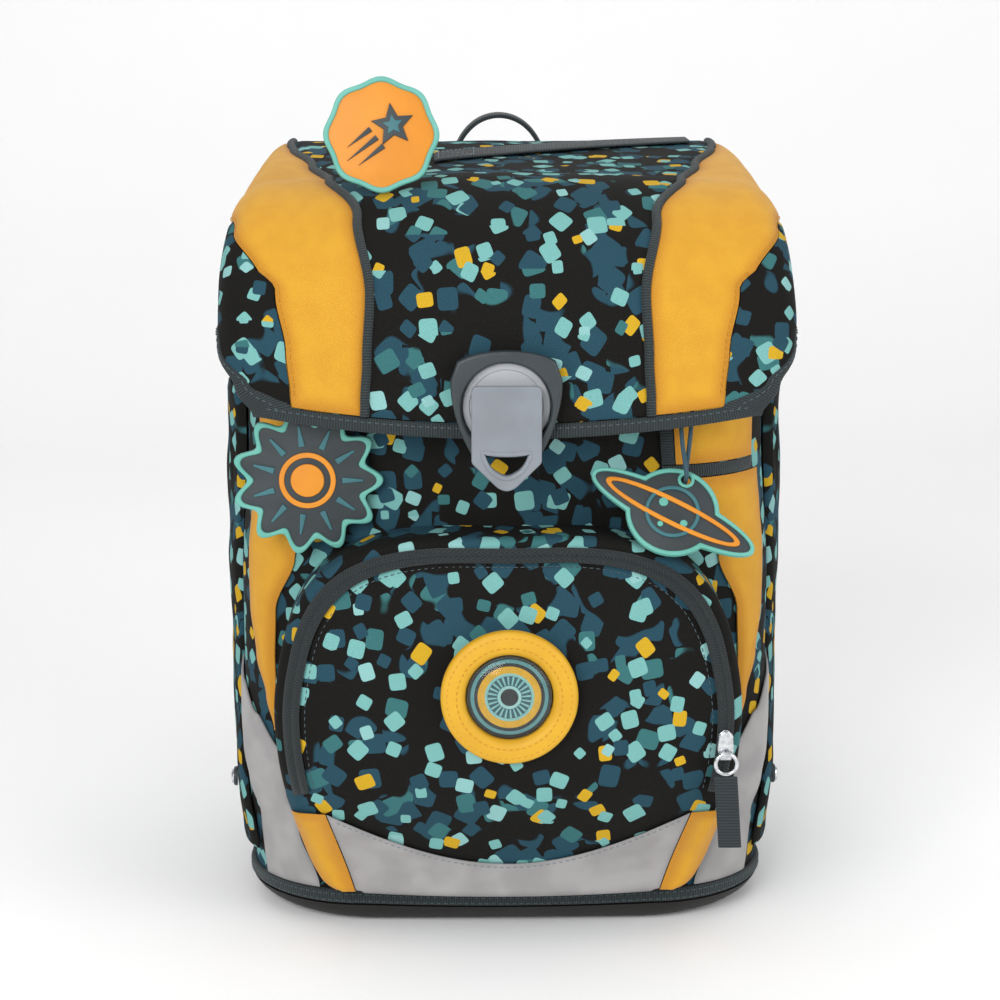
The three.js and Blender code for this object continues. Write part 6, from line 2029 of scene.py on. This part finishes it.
def build_zip_pull():
    seat = zip_middle(SLIDER_UP, SLIDER_LIFT)
    aside = (pocket_front(seat.x + 2, seat.z, 0).y - pocket_front(seat.x - 2, seat.z, 0).y) / 4
    half, tall = SLIDER_WIDTH / 2, SLIDER_LENGTH / 2
    outline = [(-half * 0.7, -tall), (half * 0.7, -tall), (half, -tall * 0.3), (half * 0.9, tall * 0.7),
               (half * 0.3, tall), (-half * 0.3, tall), (-half * 0.9, tall * 0.7), (-half, -tall * 0.3)]
    for name, low, high in (("slider_back", 0.0, 1.5), ("slider_front", 2.5, SLIDER_DEPTH)):
        mesh = plate_mesh(name, [outline], high - low, 0.5, 3)
        mesh.transform(Matrix.Translation(Vector((0, 0, (low + high) / 2)) * MM))
        place_mesh(mesh, seat.x, seat.y, seat.z)
        to_object(name, mesh, CHROME, ["zip_slider"])
    core = plate_mesh("slider_core", [[(-half * 0.5, -tall * 0.7), (half * 0.5, -tall * 0.7),
                                       (half * 0.5, tall * 0.8), (-half * 0.5, tall * 0.8)]], 1.6, 0.3, 2)
    core.transform(Matrix.Translation(Vector((0, 0, 2.0)) * MM))
    place_mesh(core, seat.x, seat.y, seat.z)
    to_object("slider_core", core, CHROME, ["zip_slider"])

    turn_out = abs(aside) * SLIDER_WIDTH / 2
    ring_y = seat.y - SLIDER_DEPTH - turn_out - RING_WIRE - GAP
    ring_z = seat.z - SLIDER_LENGTH / 2 - RING_RADIUS * 0.2
    wire = []
    for step in range(48):
        angle = step / 48 * math.tau
        x, z = RING_RADIUS * math.cos(angle), RING_RADIUS * math.sin(angle)
        wire.append(Vector((seat.x + x, ring_y, ring_z + z)))
    mesh = tube_mesh("pull_ring", wire, [FORWARD] * len(wire), RING_WIRE, 12, True)
    to_object("pull_ring", mesh, CHROME, ["zip_ring"])

    tab_top = ring_z - RING_RADIUS - RING_WIRE - GAP

    def tab_point(row, column, layer):
        return Vector((
            seat.x + (column - 0.5) * TAB_WIDTH + row * TAB_DRIFT,
            ring_y + (0.5 - layer) * TAB_THICKNESS + row * TAB_DRIFT,
            tab_top - row * TAB_LENGTH,
        ))
    mesh = strip_mesh("pull_tab", strip_corners(tab_point, even_rows(40)), 16, 0.35)
    to_object("pull_tab", mesh, WEBBING, ["zip_tab"])


# The floor, the lights and the camera
LIGHT_TARGET = Vector((0, 0, 0.2))
WORLD_TONE = (0.85, 0.85, 0.85, 1)
WORLD_STRENGTH = 0.53
CAMERA_AZIMUTH = math.radians(-1)
CAMERA_ELEVATION = math.radians(13)
CAMERA_DISTANCE = 1.2
CAMERA_TARGET = Vector((0, 0, 0.18))
CAMERA_SENSOR = 36
CAMERA_LENS = 82.9
CAMERA_SHIFT_X = -0.004
CAMERA_SHIFT_Y = 0.03


def build_stage():
    size, wall, bend = 3.0, 1.6, 0.5
    profile = [(-size, 0.0), (wall - bend, 0.0)]
    for step in range(1, 13):
        angle = step / 12 * math.pi / 2
        profile.append((wall - bend + bend * math.sin(angle), bend - bend * math.cos(angle)))
    profile.append((wall, 3.0))
    points = [Vector((x * size * 1000, y * 1000, z * 1000)) for y, z in profile for x in (-1, 1)]
    faces = [(2 * step, 2 * step + 1, 2 * step + 3, 2 * step + 2) for step in range(len(profile) - 1)]
    mesh = mesh_from("backdrop", points, faces, [(0, 0)] * len(points))
    paper = Paint("paper", 0.9)
    fine = paper.noise(paper.object_place(), 3.0, 2.0)
    mesh.materials.append(paper.finish(paper.blend(fine, linear("fafafa"), linear("ffffff"))))
    shade_smooth(mesh)
    add_object("backdrop", mesh)


def add_light(name, place, size, power):
    light = bpy.data.lights.new(name, "AREA")
    light.shape = "RECTANGLE"
    light.size, light.size_y = size
    light.energy = power
    lamp = add_object(name, light)
    lamp.location = place
    lamp.rotation_euler = (LIGHT_TARGET - Vector(place)).to_track_quat("-Z", "Y").to_euler()


def build_lights():
    add_light("key", (-0.8, -1.8, 1.1), (1.1, 1.1), 27)
    add_light("fill", (1.5, -1.2, 0.9), (1.2, 1.4), 14)
    add_light("over", (0.0, 0.1, 2.0), (1.6, 1.6), 10)
    world = bpy.data.worlds.new("studio")
    world.use_nodes = True
    background = world.node_tree.nodes["Background"]
    background.inputs["Color"].default_value = WORLD_TONE
    background.inputs["Strength"].default_value = WORLD_STRENGTH
    bpy.context.scene.world = world
    bpy.context.scene.view_settings.view_transform = "Standard"


def build_camera():
    camera = bpy.data.cameras.new("camera")
    camera.sensor_width = CAMERA_SENSOR
    camera.lens = CAMERA_LENS
    camera.shift_x = CAMERA_SHIFT_X
    camera.shift_y = CAMERA_SHIFT_Y
    camera.dof.use_dof = False
    eye = add_object("camera", camera)
    away = Vector((
        math.cos(CAMERA_ELEVATION) * math.sin(CAMERA_AZIMUTH),
        -math.cos(CAMERA_ELEVATION) * math.cos(CAMERA_AZIMUTH),
        math.sin(CAMERA_ELEVATION),
    ))
    eye.location = CAMERA_TARGET + away * CAMERA_DISTANCE
    eye.rotation_euler = (-away).to_track_quat("-Z", "Y").to_euler()
    bpy.context.scene.camera = eye


build_body()
build_base()
build_front_panels()
build_grey_sides()
build_side_pockets()
build_lid()
build_pocket()
build_zip()
build_lower_panels()
build_lens()
build_buckle()
build_top_strap()
build_handle()
build_back_pad()
build_straps()
build_left_badge()
build_cord(build_pendant())
build_top_badge()
build_zip_pull()
build_stage()
build_lights()
build_camera()
